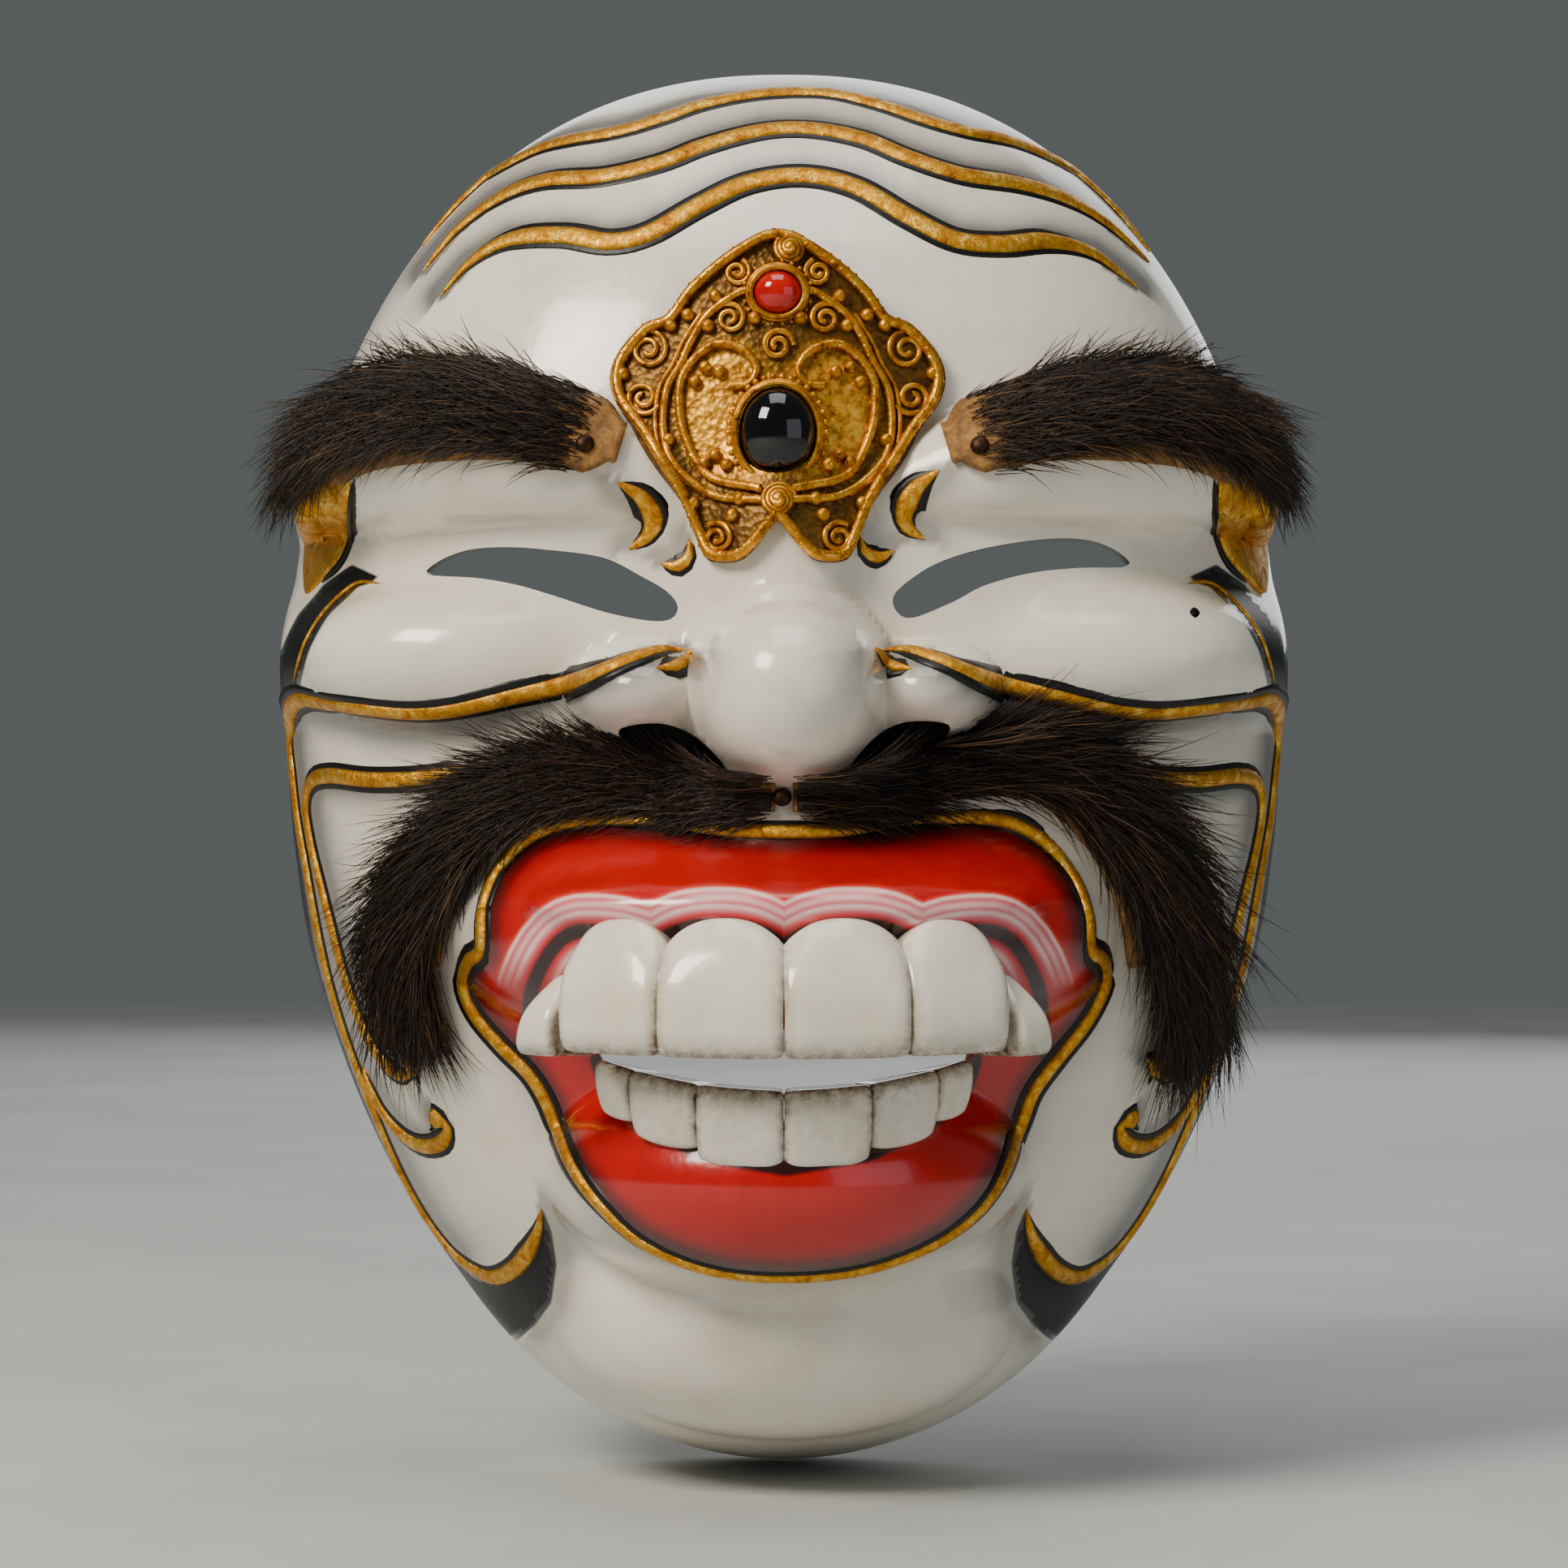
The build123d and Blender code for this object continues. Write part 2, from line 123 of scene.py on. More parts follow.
FOREHEAD_LINES = [
    [(-54.7, 78.2), (-48.5, 84.1), (-41.9, 86.9), (-35.0, 89.6), (-29.4, 90.4), (-23.5, 91.0), (-17.5, 92.8),
     (-11.3, 95.1), (-3.0, 96.8), (6.0, 97.0), (13.6, 95.1), (20.2, 92.7), (26.0, 91.2), (32.1, 90.5),
     (37.2, 89.1), (43.5, 86.6), (50.3, 83.4), (55.7, 78.0)],
    [(-52.0, 71.3), (-47.1, 77.1), (-40.9, 81.6), (-34.2, 83.6), (-25.9, 83.6), (-17.6, 85.4), (-11.2, 88.0),
     (-3.1, 90.3), (3.7, 90.6), (11.2, 89.1), (17.8, 86.2), (25.4, 83.8), (33.4, 83.0), (40.4, 81.4),
     (46.3, 78.3), (53.0, 73.0)],
    [(-49.0, 66.8), (-44.6, 71.6), (-38.8, 74.6), (-31.2, 74.7), (-24.6, 73.4), (-19.0, 74.5), (-11.9, 78.6),
     (-5.0, 82.0), (2.7, 83.1), (10.1, 81.4), (17.6, 76.9), (24.2, 73.7), (30.8, 73.3), (37.5, 74.2),
     (44.0, 72.9), (50.5, 68.4)],
]
BROW_CURLS = [
    [(-22.9, 38.6), (-19.6, 36.6), (-18.0, 33.8), (-18.9, 31.3), (-21.4, 29.6)],
    [(-13.1, 31.0), (-13.0, 28.8), (-14.6, 27.2), (-17.0, 27.6)],
    [(21.3, 40.3), (18.2, 37.9), (16.6, 34.8), (17.0, 32.6), (19.4, 31.0)],
    [(10.4, 31.4), (10.9, 29.4), (12.9, 28.4), (15.2, 29.4)],
]
CHEEK_LINE = [
    (-13.2, 15.4), (-16.9, 15.5), (-20.5, 14.4), (-25.9, 12.2), (-30.0, 10.9), (-37.0, 9.3), (-45.1, 7.5),
    (-51.5, 7.0), (-58.7, 7.7), (-64.9, 8.6), (-69.0, 9.2), (-71.3, 7.4), (-71.9, 3.0), (-71.3, -2.0),
    (-70.5, -8.1), (-69.0, -15.6), (-67.6, -23.2), (-66.0, -30.8), (-63.9, -38.2), (-61.5, -45.0),
    (-58.4, -53.0), (-55.4, -60.0), (-52.0, -66.1), (-48.1, -70.9), (-44.5, -73.2), (-41.6, -73.8),
    (-38.6, -72.1), (-36.3, -69.2), (-34.7, -65.8), (-34.1, -62.6),
]
CHEEK_HOOK = [(-12.4, 15.7), (-13.3, 14.2), (-15.2, 13.0), (-17.3, 12.9)]
JAW_LINE = [
    (-43.2, -0.8), (-50.7, -2.0), (-58.4, -2.2), (-64.9, -1.6), (-68.0, -2.6), (-68.9, -6.2), (-68.0, -11.8),
    (-66.5, -17.4), (-65.0, -23.0), (-63.0, -30.4), (-60.3, -37.8), (-57.2, -42.6), (-54.2, -44.4),
    (-52.3, -43.4),
]
JAW_TWIG = [
    (-60.9, -43.8), (-58.2, -49.7), (-54.9, -53.2), (-51.7, -54.6), (-48.7, -53.8), (-47.6, -51.5),
    (-48.9, -49.7),
]
HORN_FRONT = [(-34.0, -62.4), (-32.6, -66.0), (-32.2, -70.9), (-33.2, -76.4), (-35.6, -80.0)]
JAW_KNOB = [(-53.2, -43.2), (-52.4, -42.6), (-51.6, -43.0)]
TWIG_KNOB = [(-48.8, -51.4), (-49.2, -50.4), (-50.0, -50.0)]
EAR_EDGE = [(-60.0, 39.8), (-60.8, 35.0), (-61.9, 31.0), (-63.4, 28.4), (-66.2, 26.0)]
EAR_CURL = [(-56.0, 25.2), (-60.6, 25.6), (-64.6, 22.0), (-67.4, 17.0), (-69.6, 11.6)]
NOSE_TICK = [(-24.4, 14.6), (-22.4, 13.6), (-20.2, 13.4), (-18.2, 14.6)]
MOUTH_UPPER = [
    (-41.8, -25.8), (-41.6, -20.1), (-39.7, -14.7), (-36.2, -10.8), (-31.3, -8.4), (-24.7, -7.6),
    (-15.5, -8.2),
    (-8.4, -9.0), (0, -9.3), (8.4, -9.0), (16.3, -8.0), (25.3, -7.4), (31.8, -8.3), (36.8, -11.4),
    (40.2, -15.8), (42.0, -20.9), (42.4, -25.7),
]
MOUTH_LOWER = [
    (-43.6, -27.2), (-44.9, -30.7), (-43.4, -34.9), (-39.6, -39.4), (-35.6, -43.3), (-33.3, -47.0),
    (-31.4, -51.6),
    (-28.7, -56.2), (-25.0, -60.6), (-20.2, -64.9), (-14.2, -67.9), (-7.2, -69.7), (1.1, -70.1), (9.4, -69.4),
    (17.0, -67.3), (23.1, -64.3), (27.9, -60.3), (31.1, -55.3), (33.2, -50.1), (34.9, -45.7), (38.4, -41.0),
    (42.4, -36.0), (44.9, -30.9), (44.4, -27.3),
]
# from, to, top, and the notch level at each end
GUM_ARCS = [
    (-34.6, -17.6, -22.6, -31.0, -24.6), (-17.6, 0.0, -21.6, -24.6, -24.6),
    (0.0, 18.0, -21.6, -24.6, -24.6), (18.0, 35.0, -22.6, -24.6, -31.0),
]
LOWER_GUM = [
    (-26, -41), (-24.8, -44.8), (-20.8, -48.2), (-11.2, -52.6), (0.2, -54.4), (11.8, -52.6), (21.4, -48.2),
    (25.4, -44.8), (26.6, -41),
]
BLACK_SIDE = [
    (-56.2, 26.0), (-60.2, 25.0), (-63.8, 21.0), (-66.4, 16.0), (-69.0, 9.8), (-72.0, 8.6), (-72.6, 3.0),
    (-72.0, -2.0), (-71.2, -8.1), (-69.8, -15.6), (-68.4, -23.2), (-66.8, -30.8), (-64.7, -38.2),
    (-62.3, -45.0),
    (-59.2, -53.0), (-56.2, -60.0), (-52.8, -66.1), (-48.9, -71.2), (-44.9, -74.0), (-41.6, -74.6),
    (-38.0, -72.8),
    (-35.6, -69.6), (-34.3, -65.8), (-33.9, -62.4), (-32.7, -66.0), (-32.2, -70.9), (-33.0, -76.4),
    (-35.6, -80.2),
    (-39.4, -84.0), (-50.0, -96.0), (-96.0, -96.0), (-96.0, 14.0), (-71.6, 16.5), (-69.4, 21.5),
    (-66.0, 25.8),
    (-61.4, 28.4),
]
EAR_PANEL = [
    (-60.8, 40.2), (-64.6, 41.4), (-68.2, 39.6), (-69.6, 34.8), (-70.0, 29.0), (-69.0, 24.6), (-66.6, 26.0),
    (-63.6, 28.6), (-62.0, 31.0), (-61.0, 35.0),
]

# widths and heights from the middle outwards, thickness, radius of the row, depth of its front,
# level of the biting edge, and which way the teeth grow
TOOTH_ROWS = {
    "upper_teeth": ((17.6, 15.4, 7.2), (18.6, 18.2, 11.0), 11.0, 50.0, 88.0, -39.3, 1),
    "lower_teeth": ((12.4, 10.6, 6.5), (11.0, 9.4, 7.5), 9.0, 36.0, 78.0, -43.9, -1),
}
TOOTH_GAP, EYETOOTH_DROP = 0.22, 0.9

BROW_HIDE_FLOW = [(22.6, 43.6), (30, 45.6), (38, 46.6), (48, 46.6), (58, 45.6), (67, 42.6)]
BROW_BED_FLOW = [(34, 47.4), (40, 49.0), (47, 50.4), (58, 50.4), (69, 46.6)]
BROW_FLOW = [(26.5, 44.8), (33, 46.8), (39, 48.8), (47, 50.4), (58, 50.4), (69, 46.6)]
MOUSTACHE_HIDE_FLOW = [(1.2, -4.6), (13, -4.4), (25, -2.6), (36, -3.6), (44, -11), (48.4, -20), (50, -28)]
MOUSTACHE_FLOWS = {
    -1: [(1.5, -4.6), (13, -4.0), (25, -1.8), (37, -4.2), (46.5, -12.0), (52.5, -22.0), (52.5, -33.0)],
    1: [(1.5, -4.6), (13, -3.4), (26, 0.8), (38, -0.6), (47.5, -9.0), (54.5, -21.0), (58, -34.0)],
}
TACKS = [(-27.4, 43.4), (27.0, 43.2), (-0.2, -5.0)]
TACK_RADIUS, TACK_RISE = 1.3, 0.7

# jewel on the brow: half outline from the top point to the notch
JEWEL_X = -0.9
PLATE_HALF = [
    (0, 74.1), (6.1, 71.4), (12.2, 66.4), (15.6, 62), (19, 60.6), (22.2, 57), (23.3, 53.5), (22.4, 50),
    (19.6, 46.2), (17, 42), (13.3, 36), (11.2, 31), (9.5, 27.9), (5.9, 27.7), (3.7, 29.3), (1.7, 31.8),
    (0, 33.4),
]
INNER_SCROLL = [
    (2.4, 37.6), (9.5, 39.6), (12.9, 45.7), (13.5, 51.6), (12.1, 55.1), (8.7, 57.8), (4.8, 57), (2.9, 54.4),
    (4.0, 52.2), (6.4, 52.0),
]
OUTER_SCROLL = [
    (1.9, 36.0), (8.7, 36.8), (14.1, 41), (15.7, 45.7), (15.3, 51.6), (13.4, 55.1), (11.8, 58.6), (9.5, 62.1),
    (5.8, 64.8), (3.6, 65.6),
]
# across, up, size, and how far round the curl starts
CURLS = [
    (6.6, 61.4, 2.3, 0.5), (5.6, 67.9, 1.9, 2.0), (8.3, 30.9, 2.2, 1.0), (17.9, 57.3, 2.8, 1.4),
    (18.6, 50.6, 2.5, 3.6),
]
MIDDLE_CURL = (0, 57.6, 2.3, 0.0)
CURL_TURNS = np.linspace(0, 10.5, 26)
GRANULES = [
    (8.6, 64.6), (9.6, 60.4), (12.4, 62.0), (10.0, 54.6), (11.4, 52.6), (8.0, 54.0), (21.4, 54.0),
    (14.8, 60.6),
    (8.6, 42.4), (7.0, 41.0), (10.0, 41.4), (15.0, 44.6), (5.2, 36.2), (11.6, 35.8), (3.2, 61.4), (6.2, 34.0),
]
BEAD_RADIUS = 0.95
STUDS = [(1.7, 71.2, 2.2), (0.1, 36.0, 2.3)]
# level, half sizes across, up and deep, finish, radius of its rim's beads, and how many
STONES = {
    "red": (65.0, (3.4, 3.1, 2.8), "red", 0.55, 22),
    "black": (45.4, (5.4, 6.4, 4.6), "onyx", 0.8, 34),
}

# name, place, size, power and colour, in metres and watts
LIGHTS = [
    ("key", (-0.62, -0.72, 0.72), 0.42, 15.0, "FFF6EA"),
    ("fill", (0.75, -0.8, 0.1), 0.8, 1.8, "EEF4FF"),
    ("top", (0.0, -0.25, 1.0), 0.6, 4.0, "FFFFFF"),
    ("rear", (0.2, 1.0, 0.5), 0.9, 4.0, "FFFFFF"),
]
CAMERA_PLACE, CAMERA_LENS = (0, -0.74, -0.0028), 113.4
LIT_PLACE = (0, -0.04, 0)


def along(points, x, z):
    """Distance from places to a run of points, share of the run at the nearest, and side."""
    pts = np.asarray([p[:2] for p in points], float)
    steps = np.hypot(*(pts[1:] - pts[:-1]).T)
    starts = np.concatenate([[0], np.cumsum(steps)])
    best = np.full(np.shape(x), 1e9)
    share = np.zeros(np.shape(x))
    side = np.zeros(np.shape(x))
    for k in range(len(pts) - 1):
        ax, az = pts[k]
        bx, bz = pts[k + 1] - pts[k]
        t = np.clip(((x - ax) * bx + (z - az) * bz) / (bx * bx + bz * bz), 0, 1)
        dx, dz = x - ax - t * bx, z - az - t * bz
        d = np.hypot(dx, dz)
        near = d < best
        best = np.where(near, d, best)
        share = np.where(near, (starts[k] + t * steps[k]) / starts[-1], share)
        side = np.where(near, np.sign(bx * dz - bz * dx), side)
    return best, share, side


def gum_line():
    """The upper gum line: down the sides, and an arc over each tooth."""
    run = [(-36.4, -41.0)]
    for start, end, top, first, last in GUM_ARCS:
        for k in range(13):
            share = k / 6 - 1
            notch = first if share < 0 else last
            run.append((start + (end - start) * k / 12, top + (notch - top) * abs(share) ** 2.6))
    return run + [(36.8, -41.0)]


def inside(points, x, z):
    """Whether places lie inside a closed outline."""
    hit = np.zeros(np.shape(x), bool)
    for k, (ax, az) in enumerate(points):
        bx, bz = points[k - 1]
        crosses = (az > z) != (bz > z)
        level = (bx - ax) * (z - az) / ((bz - az) if bz != az else 1e-9) + ax
        hit ^= crosses & (x < level)
    return hit


def swell_share(t):
    """Share of a swell left at squared distance t from its middle: round, with a slope that stays finite."""
    return (np.sqrt(np.clip(1 - t, 0, 1) + 0.03) - 0.1732) / 0.8417


def smooth_max(a, b, soft):
    """The greater of two depths, with the join rounded by soft."""
    return 0.5 * (a + b + np.sqrt((a - b) ** 2 + soft * soft))


def reach_of(x, z, shrink=0.0):
    """How far out towards the rim outline places are, from 0 to 1."""
    rise = z - DOME["level"]
    up = np.where(rise >= 0, rise / (DOME["crown"] - shrink), -rise / (DOME["chin"] - shrink))
    power = np.where(rise >= 0, CROWN_POWER, JAW_POWER)
    return ((np.abs(x) / (DOME["half"] - shrink)) ** power + up**power) ** (1 / power)


def dome_depth(x, z, shrink=0.0):
    """How far the plain dome stands in front of the rim plane."""
    reach = np.clip(reach_of(x, z, shrink), 0, 1)
    return (DOME["depth"] - shrink) * (1 - reach**FRONT_POWER) ** (1 / SIDE_POWER)


def face_depth(x, z):
    """How far the carved surface stands in front of the rim plane."""
    x, z = np.asarray(x, float), np.asarray(z, float)
    plain = dome_depth(x, z)
    depth = plain
    for cx, cz, wide, high, base, swell, soft in LOBES:
        for hand in (1, -1) if cx > 5 else (1,):
            t = ((x - hand * cx) / wide) ** 2 + ((z - cz) / high) ** 2
            lobe = np.where(t < 1, base + swell * swell_share(t), base - 25 * (t - 1))
            depth = smooth_max(depth, lobe, soft)
    ridge_run = flowing(BROW_RIDGE, 2.5)
    near, share, _ = along(ridge_run, np.abs(x), z)
    steps = np.hypot(*(ridge_run[1:, :2] - ridge_run[:-1, :2]).T)
    stations = np.concatenate([[0], np.cumsum(steps)]) / np.sum(steps)
    girth = np.interp(share, stations, ridge_run[:, 2])
    crest = np.interp(share, stations, ridge_run[:, 3])
    t = (near / girth) ** 2
    ridge = np.where(t < 1, crest - girth * 0.9 * (1 - swell_share(t)), crest - girth * 0.9 - 12 * (t - 1))
    depth = smooth_max(depth, ridge, 2.2)
    fade = np.clip(plain / FADE_DEPTH, 0, 1)
    return plain + (depth - plain) * fade * fade * (3 - 2 * fade)


def hollow_depth(x, z):
    """How deep the gouged hollow is behind the face."""
    plain = dome_depth(x, z, RIM_WALL)
    depth = plain
    for cx, cz, wide, high, base, swell, soft in HOLLOW_LOBES:
        t = ((x - cx) / wide) ** 2 + ((z - cz) / high) ** 2
        lobe = np.where(t < 1, base + swell * np.sqrt(np.clip(1 - t, 0, 1)), base - 25 * (t - 1))
        depth = smooth_max(depth, lobe, soft)
    fade = np.clip(plain / FADE_DEPTH, 0, 1)
    return plain + (depth - plain) * fade


def on_face(x, z, lift=0.0):
    """Points on the carved surface, raised by a lift, with the surface normals."""
    x, z = np.asarray(x, float), np.asarray(z, float)
    reach = reach_of(x, z)
    pull = np.where(reach > 0.985, 0.985 / np.maximum(reach, 1e-6), 1.0)
    x = x * pull
    z = DOME["level"] + (z - DOME["level"]) * pull
    step = 0.25
    slope_x = (face_depth(x + step, z) - face_depth(x - step, z)) / (2 * step)
    slope_z = (face_depth(x, z + step) - face_depth(x, z - step)) / (2 * step)
    normal = np.stack([-slope_x, -np.ones_like(x), -slope_z], -1)
    normal /= np.linalg.norm(normal, axis=-1, keepdims=True)
    point = np.stack([x, -face_depth(x, z), z], -1) + normal * np.asarray(lift)[..., None]
    return point, normal


def flowing(points, spacing=1.2, closed=False):
    """A smooth run through chosen points, evenly sampled."""
    pts = np.asarray(points, float)
    if closed:
        pts = np.vstack([pts[-1], pts, pts[:2]])
    else:
        pts = np.vstack([2 * pts[0] - pts[1], pts, 2 * pts[-1] - pts[-2]])
    out = []
    for k in range(1, len(pts) - 2):
        a, b, c, d = pts[k - 1 : k + 3]
        count = max(2, int(np.linalg.norm(c - b) / spacing) + 1)
        for t in np.linspace(0, 1, count, endpoint=False):
            square, cube = 2 * a - 5 * b + 4 * c - d, 3 * b - a - 3 * c + d
            out.append(0.5 * (2 * b + (c - a) * t + square * t**2 + cube * t**3))
    if not closed:
        out.append(pts[-2])
    return np.array(out)


# ---------------------------------------------------------------- modelling helpers
def clear_selection():
    if bpy.context.object and bpy.context.object.mode != "OBJECT":
        bpy.ops.object.mode_set(mode="OBJECT")
    bpy.ops.object.select_all(action="DESELECT")


def pick(piece):
    """Selects one object alone and makes it active."""
    clear_selection()
    piece.select_set(True)
    bpy.context.view_layer.objects.active = piece


def places_of(piece):
    """The places of a mesh's points, in metres."""
    flat = np.empty(len(piece.data.vertices) * 3)
    piece.data.vertices.foreach_get("co", flat)
    return flat.reshape(-1, 3)


def move_points(piece, places):
    """Moves a mesh's points to places in millimetres."""
    piece.data.vertices.foreach_set("co", (places * MM).ravel())
    piece.data.update()


def edit_all(work):
    """Does some work on all of the active mesh in edit mode."""
    bpy.ops.object.mode_set(mode="EDIT")
    bpy.ops.mesh.select_all(action="SELECT")
    work()
    bpy.ops.object.mode_set(mode="OBJECT")


def named(name, material):
    """Names the object just added and gives it its material."""
    piece = bpy.context.object
    piece.name = name
    piece.data.name = name
    piece.data.materials.clear()
    piece.data.materials.append(material)
    return piece


def apply_modifier(piece, kind, **settings):
    """Adds a modifier with its settings and applies it."""
    pick(piece)
    modifier = piece.modifiers.new(kind.title(), kind)
    for key, value in settings.items():
        setattr(modifier, key, value)
    bpy.ops.object.modifier_apply(modifier=modifier.name)


def shaped_grid(name, material, along_count, across_count, place):
    """A grid primitive whose points are moved to where place(u, v) says, u and v from -1 to 1."""
    clear_selection()
    bpy.ops.mesh.primitive_grid_add(x_subdivisions=along_count, y_subdivisions=across_count, size=2)
    piece = named(name, material)
    uv = places_of(piece)
    move_points(piece, place(uv[:, 0], uv[:, 1]))
    return piece


def join(pieces, name):
    """Makes several meshes one object with this name."""
    clear_selection()
    for piece in pieces:
        piece.select_set(True)
    bpy.context.view_layer.objects.active = pieces[0]
    bpy.ops.object.join()
    piece = bpy.context.object
    piece.name = name
    piece.data.name = name
    return piece


def tidy(piece, smooth=True, angle=None):
    """Faces outwards, and shading smooth but for sharp edges."""
    pick(piece)
    edit_all(lambda: bpy.ops.mesh.normals_make_consistent(inside=False))
    if smooth and angle:
        bpy.ops.object.shade_smooth_by_angle(angle=math.radians(angle))
    elif smooth:
        bpy.ops.object.shade_smooth()
    return piece


def settle(piece):
    """Moves an object's place, turn and size into its mesh."""
    pick(piece)
    bpy.ops.object.transform_apply(location=True, rotation=True, scale=True)
    return piece


def declare(piece, node):
    """Parents a piece under the root body and hides the CAD node that it stands for."""
    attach(piece, "root")
    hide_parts(node)


def unit(vectors):
    """Vectors at length 1."""
    return vectors / np.maximum(np.linalg.norm(vectors, axis=-1, keepdims=True), 1e-9)


def strip(name, material, path, half_width, lift, edge=-0.05, bulge=3.0, tips=0.18):
    """A raised line on the face: lens-shaped across and pointed at its ends."""
    run = flowing(path)
    point, normal = on_face(run[:, 0], run[:, 1])
    forward = unit(np.gradient(point, axis=0))
    sideways = unit(np.cross(normal, forward))
    count = len(run)
    share = np.linspace(0, 1, count)
    taper = np.clip(np.minimum(share, 1 - share) / max(tips, 1e-3), 0, 1) ** 0.6 if tips else np.ones(count)
    wide = half_width * np.maximum(taper, 0.06)

    def place(u, v):
        k = np.clip(np.rint((u + 1) / 2 * (count - 1)).astype(int), 0, count - 1)
        high = edge + (lift - edge) * (1 - np.abs(v) ** bulge) * np.minimum(1, 0.35 + taper[k])
        return point[k] + sideways[k] * (wide[k] * v)[:, None] + normal[k] * high[:, None]

    piece = shaped_grid(name, material, count - 1, 6, place)
    apply_modifier(piece, "SOLIDIFY", thickness=0.5 * MM, offset=-1)
    return piece


def patch(name, material, outline, lift, thickness=0.5, rings=8, surface=None):
    """A thin patch that fills a smooth closed outline on the face, or on another surface."""
    edge = flowing(outline, 1.0, closed=True)
    middle = edge.mean(0)
    count = len(edge)
    clear_selection()
    bpy.ops.mesh.primitive_circle_add(vertices=count, radius=1, fill_type="TRIFAN")
    piece = named(name, material)
    edit_all(lambda: bpy.ops.mesh.subdivide(number_cuts=rings))
    co = places_of(piece)
    turn = (np.arctan2(co[:, 1], co[:, 0]) / (2 * math.pi)) % 1.0
    radius = np.hypot(co[:, 0], co[:, 1])
    edge_turn = np.arange(count + 1) / count
    ring = np.vstack([edge, edge[0]])
    sector = np.cos(math.pi / count) / np.cos(((turn * count) % 1 - 0.5) * 2 * math.pi / count)
    radius = np.clip(radius / sector, 0, 1)
    x = middle[0] + (np.interp(turn, edge_turn, ring[:, 0]) - middle[0]) * radius
    z = middle[1] + (np.interp(turn, edge_turn, ring[:, 1]) - middle[1]) * radius
    height = lift * np.clip((1 - radius) * 6 + 0.15, 0, 1)
    move_points(piece, surface(x, z, height) if surface else on_face(x, z, height)[0])
    apply_modifier(piece, "SOLIDIFY", thickness=thickness * MM, offset=-1)
    return piece


def wire(name, material, points, radius, closed=False, sides=3):
    """A round wire through points in space, made from a bevelled curve."""
    data = bpy.data.curves.new(name, "CURVE")
    data.dimensions = "3D"
    data.bevel_depth = radius * MM
    data.bevel_resolution = sides
    data.use_fill_caps = True
    spline = data.splines.new("POLY")
    spline.points.add(len(points) - 1)
    for place, point in zip(spline.points, points):
        place.co = (*(Vector(point) * MM), 1)
    spline.use_cyclic_u = closed
    piece = bpy.data.objects.new(name, data)
    bpy.context.collection.objects.link(piece)
    pick(piece)
    bpy.ops.object.convert(target="MESH")
    piece = bpy.context.object
    piece.data.materials.clear()
    piece.data.materials.append(material)
    return piece


def mirrored(points):
    """The same points on the other side of the face."""
    return [(-p[0], *p[1:]) for p in points]


# ---------------------------------------------------------------- materials
NOISE, WAVE, CELLS = "ShaderNodeTexNoise", "ShaderNodeTexWave", "ShaderNodeTexVoronoi"
RAMP, MIX, MATH = "ShaderNodeValToRGB", "ShaderNodeMix", "ShaderNodeMath"
ATTRIBUTE, BUMP = "ShaderNodeAttribute", "ShaderNodeBump"
# a noise's Scale is 1000 over the size of its lumps in millimetres
# a mix's inputs are 0 for the share and 6 and 7 for its colours, and its colour comes out of 2


def tint(hex_colour, alpha=1.0):
    """An sRGB hex colour as linear values."""
    values = [int(hex_colour[k : k + 2], 16) / 255 for k in (0, 2, 4)]
    return [v / 12.92 if v <= 0.04045 else ((v + 0.055) / 1.055) ** 2.4 for v in values] + [alpha]


def add_node(tree, kind, inputs=None, out=0, stops=None, **settings):
    """Adds a node and gives one of its outputs; inputs take values, hex colours or other outputs."""
    node = tree.nodes.new(kind)
    for key, value in settings.items():
        setattr(node, key, value)
    for key, value in (inputs or {}).items():
        if isinstance(value, bpy.types.NodeSocket):
            tree.links.new(value, node.inputs[key])
        else:
            node.inputs[key].default_value = tint(value) if isinstance(value, str) else value
    if stops:
        elements = node.color_ramp.elements
        while len(elements) < len(stops):
            elements.new(0.5)
        for element, (at, colour) in zip(elements, stops):
            element.position = at
            element.color = tint(colour) if isinstance(colour, str) else (colour, colour, colour, 1)
    return node.outputs[out] if node.outputs else None


def new_finish(name):
    """An empty material with its node tree, and places on the object."""
    material = bpy.data.materials.new(name)
    material.use_nodes = True
    tree = material.node_tree
    tree.nodes.clear()
    return material, tree, add_node(tree, "ShaderNodeTexCoord", out="Object")


def shade(tree, values, relief=None):
    """Closes a finish with its shader; relief is a height, a depth in millimetres and a strength."""
    if relief:
        height, depth, strength = relief
        bump = {"Height": height, "Distance": depth * MM, "Strength": strength}
        values["Normal"] = add_node(tree, BUMP, bump)
    surface = add_node(tree, "ShaderNodeBsdfPrincipled", values)
    add_node(tree, "ShaderNodeOutputMaterial", {"Surface": surface})


